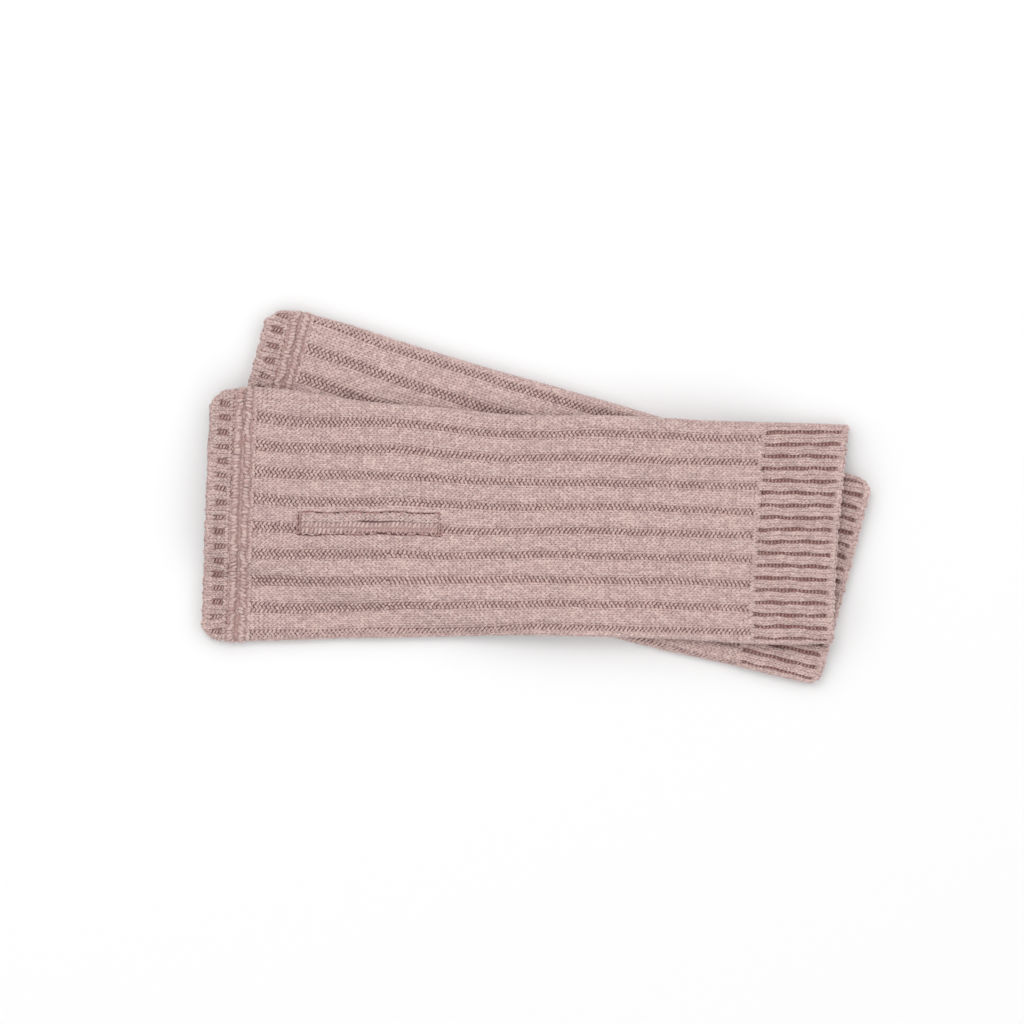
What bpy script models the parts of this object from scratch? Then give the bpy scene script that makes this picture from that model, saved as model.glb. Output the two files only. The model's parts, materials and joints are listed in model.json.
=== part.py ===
"""A pair of fingerless mittens in rib knit, laid flat on a table, one crossed over the other.

Each mitten is a knitted tube pressed flat. Its front and back walls lie on each other and part at the
side folds. From the fingers to the wrist it has a narrow-rib finger trim, two linking ridges, the wide-rib
hand and a narrow-rib cuff, and two welts close the thumb slit in the hand's front wall. The upper mitten
rests on the lower one and drops to the table where it hangs past it.

Sizes are in millimetres, and place() turns them into metres. On a mitten, "along" runs from the finger edge
to the wrist edge, "across" from its centre line to the far fold, and "height" up from what it lies on.
"""

import math
from collections import namedtuple

import bmesh
import bpy
from mathutils import Vector

METRES = 0.001

# Walls, and the gap that pieces keep at a seam
SEAM = 0.3
BACK_WALL = 2.7
HAND_WALL = 2.8
CUFF_WALL = 2.7
TRIM_WALL = 2.2
WELT_WALL = 2.1
MITTEN_HEIGHT = BACK_WALL + SEAM + HAND_WALL

# Side folds: how far in they are rounded, what they leave of the wall, and their columns
FOLD_ROUND = 3.0
FOLD_FACE = 0.28
FOLD_INSETS = (0.0, 0.6, 1.6)
COLUMN_GAP = 0.15

# Wide ribs of the hand: four raised wales, then two sunk ones
GROOVES = 9
GROOVE_DEPTH = 1.2
SHOULDER_SUNK = 0.3
GROOVE_PROFILE = ((1.8, SHOULDER_SUNK), (0.7, 1.0), (-0.7, 1.0), (-1.8, SHOULDER_SUNK))

# Narrow ribs of the cuff and the finger trim, two for each wide one: two raised wales, then a sunk one
NARROW_DEPTH = 1.0
NARROW_SHARES = (0.25, -0.25)
NARROW_PROFILE = ((0.95, 0.0), (0.0, 1.0), (-0.95, 0.0))
NARROW_CLEAR = 0.9

# Lengths along a mitten
TRIM_LENGTH = 9.6
LINK_RIDGE = 3.9
CUFF_LENGTH = 33.0
CAST_ON_ROLL = 1.8
EDGE_ROUND = 1.0
RIB_START = 2.2

# What is left of the wall at an open edge, at the start of the hand, and over one linking ridge
EDGE_SHARE = 0.62
RIB_START_SHARE = 0.8
RIDGE_PROFILE = ((0.0, 0.74), (0.2, 0.95), (0.5, 1.0), (0.8, 0.95))
RIDGE_END_SHARE = 0.74

# The thumb slit, how far its two welts part where it gapes, and the outline of a welt
SLIT_GROOVE = 5
SLIT_START = 36.0
SLIT_END = 92.5
GAPE_START = 60.0
GAPE_END = 82.0
GAPE = 1.1
WELT_PROFILE = ((0.0, 0.8), (0.25, 1.0), (0.75, 1.0), (1.0, 0.8))

# How the upper mitten falls off the lower one's edge
OVERHANG = 2.5
FALL = 14.0
REST_GAP = 0.3

# Even stations this close to a fixed one are left out, as a share of their step
STATION_CROWDING = 0.4
SHARP_ANGLE = math.radians(50)

# The yarn is one shade, which looks darker where the ribs are close
Finish = namedtuple("Finish", "name colour roughness")
HAND_KNIT = Finish("hand_knit", (0.52, 0.37, 0.35, 1.0), 0.95)
CUFF_KNIT = Finish("cuff_knit", (0.45, 0.30, 0.28, 1.0), 0.95)
TRIM_KNIT = Finish("trim_knit", (0.50, 0.35, 0.33, 1.0), 0.95)
LINKING_KNIT = Finish("linking_knit", (0.51, 0.36, 0.34, 1.0), 0.95)
WELT_KNIT = Finish("welt_knit", (0.47, 0.32, 0.30, 1.0), 0.95)

# One row for each section: its place, its reach to the far and near folds, the first wide groove, the rib
# pitch, how fast that pitch shrinks towards the near fold, and how the section leans and bows over
Section = namedtuple("Section", "along far near groove pitch bunch lean bow")

# The slit's far side, closing line and near side, counted from the middle of its groove
Slit = namedtuple("Slit", "far meet near")

# Where a mitten lies and turns, its length, and how its stations and plain columns are spread
Mitten = namedtuple("Mitten", "name x y turn length sections slit station_step plain_spans")

# A cross-section's place, its wall and how deep its grooves are
Row = namedtuple("Row", "along wall depth")

# The ring points that bound the slit, from the first to the last station beside it
Window = namedtuple("Window", "first last top_far top_near in_near in_far")

UPPER_SECTIONS = (
    Section(0.0, 45.6, 45.8, 40.8, 11.1, 0.0, 0.014, 0.0),
    Section(4.0, 48.2, 48.4, 40.7, 11.1, 0.0, 0.012, 0.0),
    Section(9.5, 49.4, 49.3, 40.2, 11.0, 0.0, 0.010, 0.0),
    Section(19.5, 50.2, 48.8, 38.5, 10.6, 0.0, 0.009, 0.0),
    Section(36.0, 48.9, 47.9, 37.4, 10.4, 0.0, 0.010, 0.0),
    Section(56.0, 46.3, 46.6, 37.6, 10.3, 0.0, 0.012, 0.0),
    Section(75.0, 45.0, 45.8, 37.6, 10.15, 0.0, 0.014, 0.0),
    Section(95.0, 44.0, 44.8, 36.2, 9.85, 0.0, 0.016, 0.0),
    Section(114.0, 42.5, 43.8, 34.9, 9.5, 0.0, 0.018, 0.0),
    Section(134.0, 42.5, 43.2, 35.3, 9.4, 0.0, 0.020, 0.0),
    Section(153.0, 43.2, 43.0, 36.0, 9.5, 0.0, 0.022, 0.0),
    Section(173.0, 43.0, 42.8, 36.0, 9.45, 0.0, 0.025, 0.0),
    Section(192.0, 42.5, 43.1, 35.8, 9.4, 0.0, 0.027, 0.0),
    Section(215.0, 42.5, 43.9, 36.1, 9.45, 0.0, 0.030, 0.5),
    Section(232.0, 42.6, 43.8, 36.6, 9.5, 0.0, 0.038, 1.0),
    Section(248.2, 42.4, 42.8, 37.0, 9.6, 0.0, 0.046, 1.4),
)
LOWER_SECTIONS = (
    Section(0.0, 43.9, 41.5, 49.5, 12.7, -0.17, 0.0, 0.0),
    Section(4.5, 47.2, 44.0, 49.2, 12.7, -0.17, 0.0, 0.0),
    Section(14.5, 49.0, 45.0, 48.7, 12.6, -0.17, 0.0, 0.0),
    Section(32.0, 49.0, 45.3, 47.3, 12.4, -0.16, 0.0, 0.0),
    Section(53.0, 47.8, 45.0, 44.9, 12.1, -0.15, 0.0, 0.0),
    Section(86.0, 46.5, 44.2, 43.0, 11.7, -0.13, 0.0, 0.0),
    Section(119.0, 46.0, 43.4, 41.5, 11.2, -0.10, 0.0, 0.0),
    Section(149.0, 45.4, 42.7, 40.4, 10.7, -0.07, 0.0, 0.0),
    Section(180.0, 44.1, 42.6, 39.2, 10.3, -0.03, 0.0, 0.0),
    Section(212.0, 43.0, 41.4, 38.2, 10.0, 0.0, 0.0, 0.0),
    Section(236.0, 42.5, 40.8, 37.8, 9.9, 0.0, 0.0, 0.0),
    Section(246.0, 41.4, 40.2, 37.6, 9.9, 0.0, 0.0, 0.0),
)

# The upper mitten's slit lies to the far side of its groove; the lower one is its mirror twin
LOWER = Mitten("lower", -117.15, 28.57, 14.8, 246.0, LOWER_SECTIONS, Slit(2.6, -2.6, -6.2), 26.0, 6)
UPPER = Mitten("upper", -129.25, -6.53, 1.71, 248.2, UPPER_SECTIONS, Slit(6.2, 2.6, -2.6), 11.5, 21)


def eased(share):
    """A smooth step from 0 to 1."""
    share = min(1.0, max(0.0, share))
    return share * share * (3.0 - 2.0 * share)


def slope(low, high, name):
    return (getattr(high, name) - getattr(low, name)) / (high.along - low.along)


def section_at(mitten, along):
    """The section at a place between the table's rows, on a smooth curve through them."""
    sections = mitten.sections
    along = min(sections[-1].along, max(sections[0].along, along))
    i = next(k for k in range(1, len(sections)) if along <= sections[k].along)
    low, high = sections[i - 1], sections[i]
    before, after = sections[max(i - 2, 0)], sections[min(i + 1, len(sections) - 1)]
    span = high.along - low.along
    u = (along - low.along) / span
    values = {"along": along}
    for name in Section._fields[1:]:
        start = slope(before, high, name) * span
        end = slope(low, after, name) * span
        values[name] = (
            getattr(low, name) * (1 + 2 * u) * (1 - u) ** 2
            + getattr(high, name) * (3 - 2 * u) * u**2
            + start * u * (1 - u) ** 2
            + end * (u - 1) * u**2
        )
    return Section(**values)


def axes_of(mitten):
    """The directions along and across a mitten, on the table."""
    turn = math.radians(mitten.turn)
    return (math.cos(turn), -math.sin(turn)), (math.sin(turn), math.cos(turn))


def on_table(mitten, along, across):
    """A mitten's point on the table, in millimetres."""
    down, side = axes_of(mitten)
    section = section_at(mitten, along)
    reach = section.far if across > 0.0 else section.near
    along += section.lean * across - section.bow * (1.0 - (across / reach) ** 2)
    x = mitten.x + down[0] * along + side[0] * across
    y = mitten.y + down[1] * along + side[1] * across
    return x, y


def place(mitten, along, across, height):
    x, y = on_table(mitten, along, across)
    return Vector((x, y, height)) * METRES


def cover(inside):
    """How much of the lower mitten's height is felt at this distance inside its edge."""
    return eased((inside + OVERHANG + FALL) / FALL)


def rest_height(mitten, along, across):
    """The height of what a mitten lies on: the table, or the lower mitten and the fall beside it."""
    if mitten is LOWER:
        return 0.0
    x, y = on_table(mitten, along, across)
    down, side = axes_of(LOWER)
    along = (x - LOWER.x) * down[0] + (y - LOWER.y) * down[1]
    across = (x - LOWER.x) * side[0] + (y - LOWER.y) * side[1]
    at = section_at(LOWER, along)
    share = cover(at.far - across) * cover(at.near + across)
    share *= cover(along) * cover(LOWER.length - along)
    return share * (MITTEN_HEIGHT + REST_GAP)


def height_under(mitten, along, plain, across):
    """The rest height on straight lines between the plain columns, so that the walls keep their thickness."""
    for left, right in zip(plain, plain[1:]):
        if right <= across:
            share = (left - across) / (left - right)
            start, end = rest_height(mitten, along, left), rest_height(mitten, along, right)
            return start + (end - start) * share
    return rest_height(mitten, along, across)


def groove_at(section, number):
    """Where a wide groove lies across a section; the first is number 1."""
    step = number - 1
    return section.groove - section.pitch * step - section.bunch * step * step


def narrow_groove_at(section, number, share):
    return groove_at(section, number) + share * section.pitch


def slit_places(mitten, section):
    """Where the thumb slit's far side, its closing line and its near side lie across a section."""
    middle = groove_at(section, SLIT_GROOVE)
    return middle + mitten.slit.far, middle + mitten.slit.meet, middle + mitten.slit.near


def fold_share(section, across):
    """The share of the wall's height that the rounded side folds leave."""
    inset = min(section.far - across, section.near + across, FOLD_ROUND)
    away = 1.0 - max(0.0, inset) / FOLD_ROUND
    return FOLD_FACE + (1.0 - FOLD_FACE) * math.sqrt(max(0.0, 1.0 - away * away))


def between_folds(section, columns):
    """Columns as (place, how sunk from 0 to 1), with those of the folds, and none of them out of order."""
    far, near = section.far - FOLD_INSETS[-1], FOLD_INSETS[-1] - section.near
    kept = []
    last = far
    for left, (across, sunk) in zip(range(len(columns), 0, -1), columns):
        last = max(near + COLUMN_GAP * left, min(last - COLUMN_GAP, across))
        kept.append((last, sunk))
    far_fold = [(section.far - inset, 0.0) for inset in FOLD_INSETS]
    near_fold = [(inset - section.near, 0.0) for inset in reversed(FOLD_INSETS)]
    return far_fold + kept + near_fold


def wide_rib_columns(mitten, section):
    """The hand's columns: grooves, the crowns between them, and the two sides of the thumb slit."""
    far, _, near = slit_places(mitten, section)
    columns = [(far, SHOULDER_SUNK), (near, SHOULDER_SUNK)]
    middles = [groove_at(section, number) for number in range(1, GROOVES + 1)]
    columns += [((one + other) / 2, 0.0) for one, other in zip(middles, middles[1:])]
    columns += [(middle + offset, sunk) for middle in middles for offset, sunk in GROOVE_PROFILE]
    return between_folds(section, sorted(columns, reverse=True))


def narrow_grooves(sections):
    """The narrow grooves that stay clear of both folds in all of these sections, as (wide groove, share)."""
    found = []
    for number in range(1, GROOVES + 1):
        for share in NARROW_SHARES:
            places = [(s, narrow_groove_at(s, number, share)) for s in sections]
            if all(NARROW_CLEAR - s.near < across < s.far - NARROW_CLEAR for s, across in places):
                found.append((number, share))
    return found


def narrow_rib_columns(section, grooves):
    middles = [narrow_groove_at(section, number, share) for number, share in grooves]
    columns = [(middle + offset, sunk) for middle in middles for offset, sunk in NARROW_PROFILE]
    return between_folds(section, columns)


def plain_columns(mitten, section):
    """Evenly spread places from the far fold to the near one."""
    width = section.far + section.near
    return [section.far - width * k / mitten.plain_spans for k in range(mitten.plain_spans + 1)]


def nearest(places, wanted):
    return min(range(len(places)), key=lambda k: abs(places[k] - wanted))


def hand_plain_columns(mitten, section):
    """The hand's plain columns, of which the same two always lie on the sides of the thumb slit."""
    middle = section_at(mitten, (SLIT_START + SLIT_END) / 2)
    even = plain_columns(mitten, middle)
    places = plain_columns(mitten, section)
    for slit_side in (0, 2):
        chosen = nearest(even, slit_places(mitten, middle)[slit_side])
        places[chosen] = slit_places(mitten, section)[slit_side]
    return places


def stations(start, end, step, fixed=()):
    """Places along a piece: both ends, the fixed ones, and even ones where these leave room."""
    count = max(1, round((end - start) / step))
    even = [start + (end - start) * k / count for k in range(1, count)]
    free = [s for s in even if all(abs(s - other) > STATION_CROWDING * step for other in fixed)]
    return sorted([start, end, *free, *fixed])


def ring(mitten, along, plain, over, under):
    """One cross-section's points: over the piece from far to near, then back under it."""
    return [
        place(mitten, along, across, height + height_under(mitten, along, plain, across))
        for across, height in over + under[::-1]
    ]


def front_ring(mitten, row, columns, plain):
    """A cross-section of a front wall, ribbed over the top and plain inside."""
    section = section_at(mitten, row.along)
    level = BACK_WALL + SEAM
    over = []
    for across, sunk in columns:
        wall = min(row.wall - row.depth * sunk, row.wall * fold_share(section, across))
        over.append((across, level + wall))
    return ring(mitten, row.along, plain, over, [(across, level) for across in plain])


def back_ring(mitten, along, plain):
    """A cross-section of a back wall, plain inside and on the face that it rests on."""
    section = section_at(mitten, along)
    insets = (*FOLD_INSETS, FOLD_ROUND)
    clear = FOLD_ROUND + COLUMN_GAP
    places = [section.far - inset for inset in insets]
    places += [across for across in plain if clear - section.near < across < section.far - clear]
    places += [inset - section.near for inset in reversed(insets)]
    under = [(across, BACK_WALL * (1.0 - fold_share(section, across))) for across in places]
    return ring(mitten, along, plain, [(across, BACK_WALL) for across in plain], under)


def zip_rows(mesh, over, under):
    """Triangles between two rows of points that run the same way, each reaching for the nearer next point."""
    run = over[-1].co - over[0].co
    while len(over) + len(under) > 2:
        over_next = len(under) == 1
        if len(over) > 1 and len(under) > 1:
            over_next = run.dot(over[1].co) <= run.dot(under[1].co)
        if over_next:
            mesh.faces.new((over[0], over[1], under[0]))
            over = over[1:]
        else:
            mesh.faces.new((over[0], under[1], under[0]))
            under = under[1:]


def cut_window(mesh, rows, window):
    """The cut walls round the slit, between the top and the inside of the wall."""
    beside = rows[window.first : window.last + 1]
    for row, after in zip(beside, beside[1:]):
        for top, inside in ((window.top_far, window.in_far), (window.top_near, window.in_near)):
            mesh.faces.new((row[top], after[top], after[inside], row[inside]))
    for row in (beside[0], beside[-1]):
        inside = row[window.in_near : window.in_far + 1]
        zip_rows(mesh, row[window.top_far : window.top_near + 1], inside[::-1])


def loft(rings, over_count, window=None):
    """A closed solid through rings of like points, which run over it first and then back under it."""
    mesh = bmesh.new()
    rows = [[mesh.verts.new(point) for point in ring] for ring in rings]
    points = len(rows[0])
    for i, (row, after) in enumerate(zip(rows, rows[1:])):
        cut = set()
        if window and window.first <= i < window.last:
            cut.update(range(window.top_far, window.top_near))
            cut.update(range(window.in_near, window.in_far))
        for k in range(points):
            n = (k + 1) % points
            if k not in cut:
                mesh.faces.new((row[k], row[n], after[n], after[k]))
    for row in (rows[0], rows[-1]):
        zip_rows(mesh, row[:over_count], row[: over_count - 1 : -1])
    if window:
        cut_window(mesh, rows, window)
    bmesh.ops.recalc_face_normals(mesh, faces=mesh.faces)
    bmesh.ops.triangulate(mesh, faces=[face for face in mesh.faces if len(face.verts) > 3])
    return mesh


def knit_material(finish):
    material = bpy.data.materials.new(finish.name)
    material.use_nodes = True
    shader = material.node_tree.nodes["Principled BSDF"]
    shader.inputs["Base Color"].default_value = finish.colour
    shader.inputs["Roughness"].default_value = finish.roughness
    shader.inputs["Metallic"].default_value = 0.0
    return material


def add_piece(mitten, name, mesh, material):
    """A named object with this mesh, shaded smooth but for its sharp edges."""
    name = f"{mitten.name}_{name}"
    data = bpy.data.meshes.new(name)
    mesh.to_mesh(data)
    mesh.free()
    data.shade_smooth()
    data.set_sharp_from_angle(angle=SHARP_ANGLE)
    data.materials.append(material)
    bpy.context.scene.collection.objects.link(bpy.data.objects.new(name, data))


def add_front_and_back(mitten, name, rows, columns, plain, material, window=None):
    """The two walls of a stretch of the tube."""
    front = [front_ring(mitten, *row_columns) for row_columns in zip(rows, columns, plain)]
    back = [back_ring(mitten, row.along, places) for row, places in zip(rows, plain)]
    add_piece(mitten, f"{name}_front", loft(front, len(columns[0]), window), material)
    add_piece(mitten, f"{name}_back", loft(back, len(plain[0])), material)


def build_narrow_rib(mitten, name, rows, material):
    """A stretch of the tube in narrow rib."""
    sections = [section_at(mitten, row.along) for row in rows]
    grooves = narrow_grooves(sections)
    columns = [narrow_rib_columns(section, grooves) for section in sections]
    plain = [plain_columns(mitten, section) for section in sections]
    add_front_and_back(mitten, name, rows, columns, plain, material)


def build_finger_trim(mitten, material):
    """The short rib trim, thinner at the open finger edge."""
    rows = [Row(0.0, TRIM_WALL * EDGE_SHARE, NARROW_DEPTH * EDGE_SHARE)]
    places = stations(EDGE_ROUND, TRIM_LENGTH, TRIM_LENGTH / 2)
    rows += [Row(along, TRIM_WALL, NARROW_DEPTH) for along in places]
    build_narrow_rib(mitten, "finger_trim", rows, material)


def build_cuff(mitten, material):
    """The cuff, whose grooves end at the smooth roll of its cast-on edge."""
    start, end = mitten.length - CUFF_LENGTH, mitten.length
    roll = end - CAST_ON_ROLL
    rows = [Row(along, CUFF_WALL, NARROW_DEPTH) for along in stations(start, roll, mitten.station_step)]
    rows.append(Row(roll + EDGE_ROUND / 2, CUFF_WALL, 0.0))
    rows.append(Row(end - EDGE_ROUND / 2, CUFF_WALL, 0.0))
    rows.append(Row(end, CUFF_WALL * EDGE_SHARE, 0.0))
    build_narrow_rib(mitten, "wrist", rows, material)


def build_linking(mitten, material):
    """The band between trim and hand, with its two raised rows of linking stitches round the tube."""
    start = TRIM_LENGTH + SEAM
    rows = [
        Row(start + LINK_RIDGE * (ridge + share), HAND_WALL * height, 0.0)
        for ridge in (0, 1)
        for share, height in RIDGE_PROFILE
    ]
    rows.append(Row(start + LINK_RIDGE * 2, HAND_WALL * RIDGE_END_SHARE, 0.0))
    sections = [section_at(mitten, row.along) for row in rows]
    plain = [plain_columns(mitten, section) for section in sections]
    columns = [
        between_folds(section, [(across, 0.0) for across in places[1:-1]])
        for section, places in zip(sections, plain)
    ]
    add_front_and_back(mitten, "linking", rows, columns, plain, material)


def hand_stations(mitten):
    start = TRIM_LENGTH + 2 * LINK_RIDGE + 2 * SEAM
    end = mitten.length - CUFF_LENGTH - SEAM
    return stations(start, end, mitten.station_step, (start + RIB_START, SLIT_START, SLIT_END))


def hand_window(mitten, places, columns, plain):
    """The thumb slit's window in the hand's front wall."""
    first, last = places.index(SLIT_START), places.index(SLIT_END)
    far, _, near = slit_places(mitten, section_at(mitten, SLIT_START))
    over = [across for across, _ in columns[first]]
    inside = plain[first][::-1]
    in_near = len(over) + nearest(inside, near)
    in_far = len(over) + nearest(inside, far)
    return Window(first, last, nearest(over, far), nearest(over, near), in_near, in_far)


def build_hand(mitten, material):
    """The wide-rib hand, with the thumb slit cut through its front."""
    places = hand_stations(mitten)
    sections = [section_at(mitten, along) for along in places]
    columns = [wide_rib_columns(mitten, section) for section in sections]
    plain = [hand_plain_columns(mitten, section) for section in sections]
    rows = [Row(along, HAND_WALL, GROOVE_DEPTH) for along in places]
    rows[0] = Row(places[0], HAND_WALL * RIB_START_SHARE, GROOVE_DEPTH * RIB_START_SHARE)
    window = hand_window(mitten, places, columns, plain)
    add_front_and_back(mitten, "hand", rows, columns, plain, material, window)


def half_gape(along):
    """Half the gap between the welts: a seam's at the ends, wider where the slit gapes."""
    share = (along - GAPE_START) / (GAPE_END - GAPE_START)
    if not 0.0 < share < 1.0:
        return SEAM / 2
    return SEAM / 2 + (GAPE - SEAM) / 2 * math.sin(math.pi * share)


def welt_ring(mitten, side, along):
    """A cross-section of the welt on the far or the near side of the thumb slit."""
    section = section_at(mitten, along)
    far, meet, near = slit_places(mitten, section)
    if side == "far":
        start, end = far - SEAM, meet + half_gape(along)
    else:
        start, end = meet - half_gape(along), near + SEAM
    level = BACK_WALL + SEAM
    over = [(start + (end - start) * share, level + WELT_WALL * height) for share, height in WELT_PROFILE]
    plain = hand_plain_columns(mitten, section)
    return ring(mitten, along, plain, over, [(start, level), (end, level)])


def build_welts(mitten, material):
    """The two bands that close the thumb slit, at the hand's own stations."""
    between = [along for along in hand_stations(mitten) if SLIT_START < along < SLIT_END]
    places = (SLIT_START + SEAM, *between, SLIT_END - SEAM)
    for side in ("far", "near"):
        rings = [welt_ring(mitten, side, along) for along in places]
        add_piece(mitten, f"thumb_welt_{side}", loft(rings, len(WELT_PROFILE)), material)


def main():
    for old in list(bpy.data.objects):
        bpy.data.objects.remove(old)
    builders = (
        (build_finger_trim, TRIM_KNIT),
        (build_linking, LINKING_KNIT),
        (build_hand, HAND_KNIT),
        (build_welts, WELT_KNIT),
        (build_cuff, CUFF_KNIT),
    )
    for build, finish in builders:
        material = knit_material(finish)
        for mitten in (LOWER, UPPER):
            build(mitten, material)


main()
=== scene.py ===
"""The looks of a pair of fingerless mittens in rib knit, laid flat, one crossed over the other.

Each mitten is a pressed tube of cloth, the ground, with its stitches on it: legs of yarn in the wales,
slanted bars in the grooves, bumps along the linking ridges, chains along the open edges, and two welts in
the thumb slit. The ground and the stitches follow the same sections as the frame's solids.

Knit sizes are in millimetres here, and METRES turns them into the frame's unit. On a mitten, "along" runs
from the finger edge to the wrist edge, "across" from its centre line to the far fold, and "around" is
measured over the cloth itself, round the fold and on to the underside. Turns among the values below are
in degrees, unless their comment says radians.
"""

import json
import math
import random
from collections import namedtuple

import bmesh
import bpy
import numpy as np
from bpy.props import FloatProperty, FloatVectorProperty, PointerProperty
from mathutils import Matrix, Vector


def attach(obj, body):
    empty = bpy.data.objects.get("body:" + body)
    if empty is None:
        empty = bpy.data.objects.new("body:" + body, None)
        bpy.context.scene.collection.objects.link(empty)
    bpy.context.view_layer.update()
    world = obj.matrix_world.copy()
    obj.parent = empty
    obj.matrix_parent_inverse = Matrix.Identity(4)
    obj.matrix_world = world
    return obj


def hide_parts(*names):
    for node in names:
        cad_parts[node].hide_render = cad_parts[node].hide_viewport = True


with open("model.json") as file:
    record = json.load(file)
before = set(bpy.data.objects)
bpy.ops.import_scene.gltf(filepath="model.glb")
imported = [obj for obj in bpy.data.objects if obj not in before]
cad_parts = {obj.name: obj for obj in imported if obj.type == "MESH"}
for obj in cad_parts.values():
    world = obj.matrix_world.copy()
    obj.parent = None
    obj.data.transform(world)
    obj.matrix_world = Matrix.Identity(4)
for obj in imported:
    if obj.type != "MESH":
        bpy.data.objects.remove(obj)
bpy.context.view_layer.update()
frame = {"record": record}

bl_info = {
    "name": "Rib-knit mittens",
    "version": (1, 0, 0),
    "blender": (4, 5, 0),
    "location": "3D View > Sidebar > Mittens",
    "description": "Knits a pair of flat fingerless mittens, stitch by stitch, and sets their stage",
    "category": "Object",
}

METRES = 0.001
BODY = "root"
HAND_COLOUR = next(m["base_color"] for m in frame["record"]["materials"] if m["slot"] == "hand_knit")

# The hand's height over what it lies on, and how much higher the upper mitten lies
HAND_TOP = 5.8
LIFT_OVER_LOWER = 6.1

# How far a side fold reaches out, its length over the cloth, and how far round it the stitches go
FOLD_ROUND = 3.0
FOLD_ARC = math.pi * math.sqrt((FOLD_ROUND**2 + (HAND_TOP / 2) ** 2) / 2)
STITCHED_ARC = 6.8

# How far the ground lies below the stitches, its thickness, and the distance at which its girth is measured
GROUND_BELOW = 0.38
GROUND_WALL = 1.2
GIRTH_STEP = 5.0

# How far apart the ground's rows are, and where they lie closer, from the start and the end of a stretch
BAND_STEP = 0.9
HAND_STEP = 3.4
CUFF_STEP = 2.6
HAND_FIRST_ROWS = (0.0, 0.8, 1.6, 2.6, 4.0)
HAND_LAST_ROWS = (5.0, 3.6, 2.6, 1.8, 1.0, 0.0)
CUFF_FIRST_ROWS = (0.0, 0.8, 1.6, 2.4, 3.4)
CUFF_LAST_ROWS = (3.6, 2.8, 2.2, 1.6, 0.9, 0.4, 0.0)

# The ground's columns: their step where there is no groove, the one on a groove's slope, and how many there
# are round a fold and under either half
PLAIN_STEP = 1.8
SLOPE_SHARE = 0.55
FOLD_COLUMNS = 9
UNDER_COLUMNS = 5

# How the upper mitten falls off the lower one's edge
OVERHANG = 2.5
FALL = 14.0

# Lengths along a mitten
TRIM_END = 9.6
RIDGES = (11.85, 15.75)
LINKING_END = 17.85
CUFF_LENGTH = 33.1

# The height of the ribs' crowns, counted from the finger edge and from the wrist edge
CROWN_FROM_FINGERS = (
    (0.0, 4.4), (1.0, 5.2), (9.0, 5.2), (9.8, 4.7), (10.7, 5.5), (11.85, 5.8), (13.0, 5.5), (13.8, 4.9),
    (14.6, 5.5), (15.75, 5.8), (16.9, 5.5), (17.8, 4.9), (18.6, 5.4), (20.2, 5.8),
)
CROWN_FROM_WRIST = ((0.0, 4.7), (0.6, 5.7), (32.6, 5.7), (33.3, 5.8))

# Wide grooves of the hand: how many there are, their depth, how broadly the ribs beside them are rounded,
# how much painted shade darkens them, and the length over which their width changes
GROOVES = 9
WIDE_DEPTH = 1.05
WIDE_SHOULDER = 1.9
WIDE_SHADE = 0.85
WIDTH_CHANGE = 110.0

# Narrow grooves of trim and cuff, two for each wide one: where they lie, how broadly the ribs beside them
# are rounded, how large they are where closed and how much larger where open, how much painted shade
# darkens them, and half their width and their depth
NARROW_SHARES = (0.25, -0.25)
NARROW_SHOULDER = 0.9
CLOSED_SWELL = 0.55
OPEN_SWELL = 0.45
NARROW_SHADE = 0.85
TRIM_HALF = 1.2
TRIM_DEPTH = 1.4
CUFF_HALF = 0.7
CUFF_DEPTH = 1.35

# Where grooves open and close: the trim's from the finger edge, the hand's close and the cuff's open from
# where hand and cuff meet, and the cuff's close from the wrist edge
TRIM_OPENS = 3.0
TRIM_CLOSES = 9.2
CUFF_OPENS = 0.1
HAND_CLOSES = 0.1
CUFF_CLOSES = 2.2

# The length over which a groove opens, by how much that place shifts from groove to groove, the share from
# which an opening groove is knitted as one, and the share of its bottom that is flat
OPENING = 1.2
STAGGER = 0.7
STAGGER_TURN = 2.3
WIDE_STAGGER = 0.5
NARROW_START_STAGGER = 0.7
NARROW_END_STAGGER = 0.4
HALF_OPEN = 0.5
FLAT_BOTTOM = 0.3

# Wales in a wide rib, and the least width of a wale
WALES = 4
LEAST_WALE = 1.25

# Waves of soft cloth: their size, their length for a turn of one radian, and how they shift with a number;
# a narrow groove runs through the wide grooves' waves faster
WIDE_WAVES = ((0.2, 12.5, 1.7), (0.1, 4.9, 2.9))
NARROW_WAVES = ((0.15, 1.5, 4.3),)
SWELL_WAVES = ((0.25, 2.3, 5.1),)
SHADE_WAVES = ((0.15, 3.1, 7.7),)
SLIT_WAVES = ((0.2, 2.7, 1.9),)
NARROW_HURRY = 1.6

# How far a course of stitches strays: its waves' size and their lengths around and along, and how far from
# the ends of the hand it strays freely
COURSE_WAVES = ((0.4, 7.0, 23.0), (0.2, 2.9, -11.0))
STRAY_START = 9.0

# How far the open edges draw in where a narrow groove meets them, and how far in that is felt
FINGER_SCALLOP = 0.6
WRIST_SCALLOP = 0.5
SCALLOP_LENGTH = 4.0

# How the open edges' corners are rounded at the folds
CORNER = 3.0
CORNER_LENGTH = 6.0

# The thumb slit
SLIT_GROOVE = 5
SLIT_START = 36.0
SLIT_END = 92.5
SLIT_END_COLUMN = 1.5
GAPE_START = 60.0
GAPE_END = 86.0
GAPE = 0.8
GAPE_SKEW = 0.32
FURROW = 0.42
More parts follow.
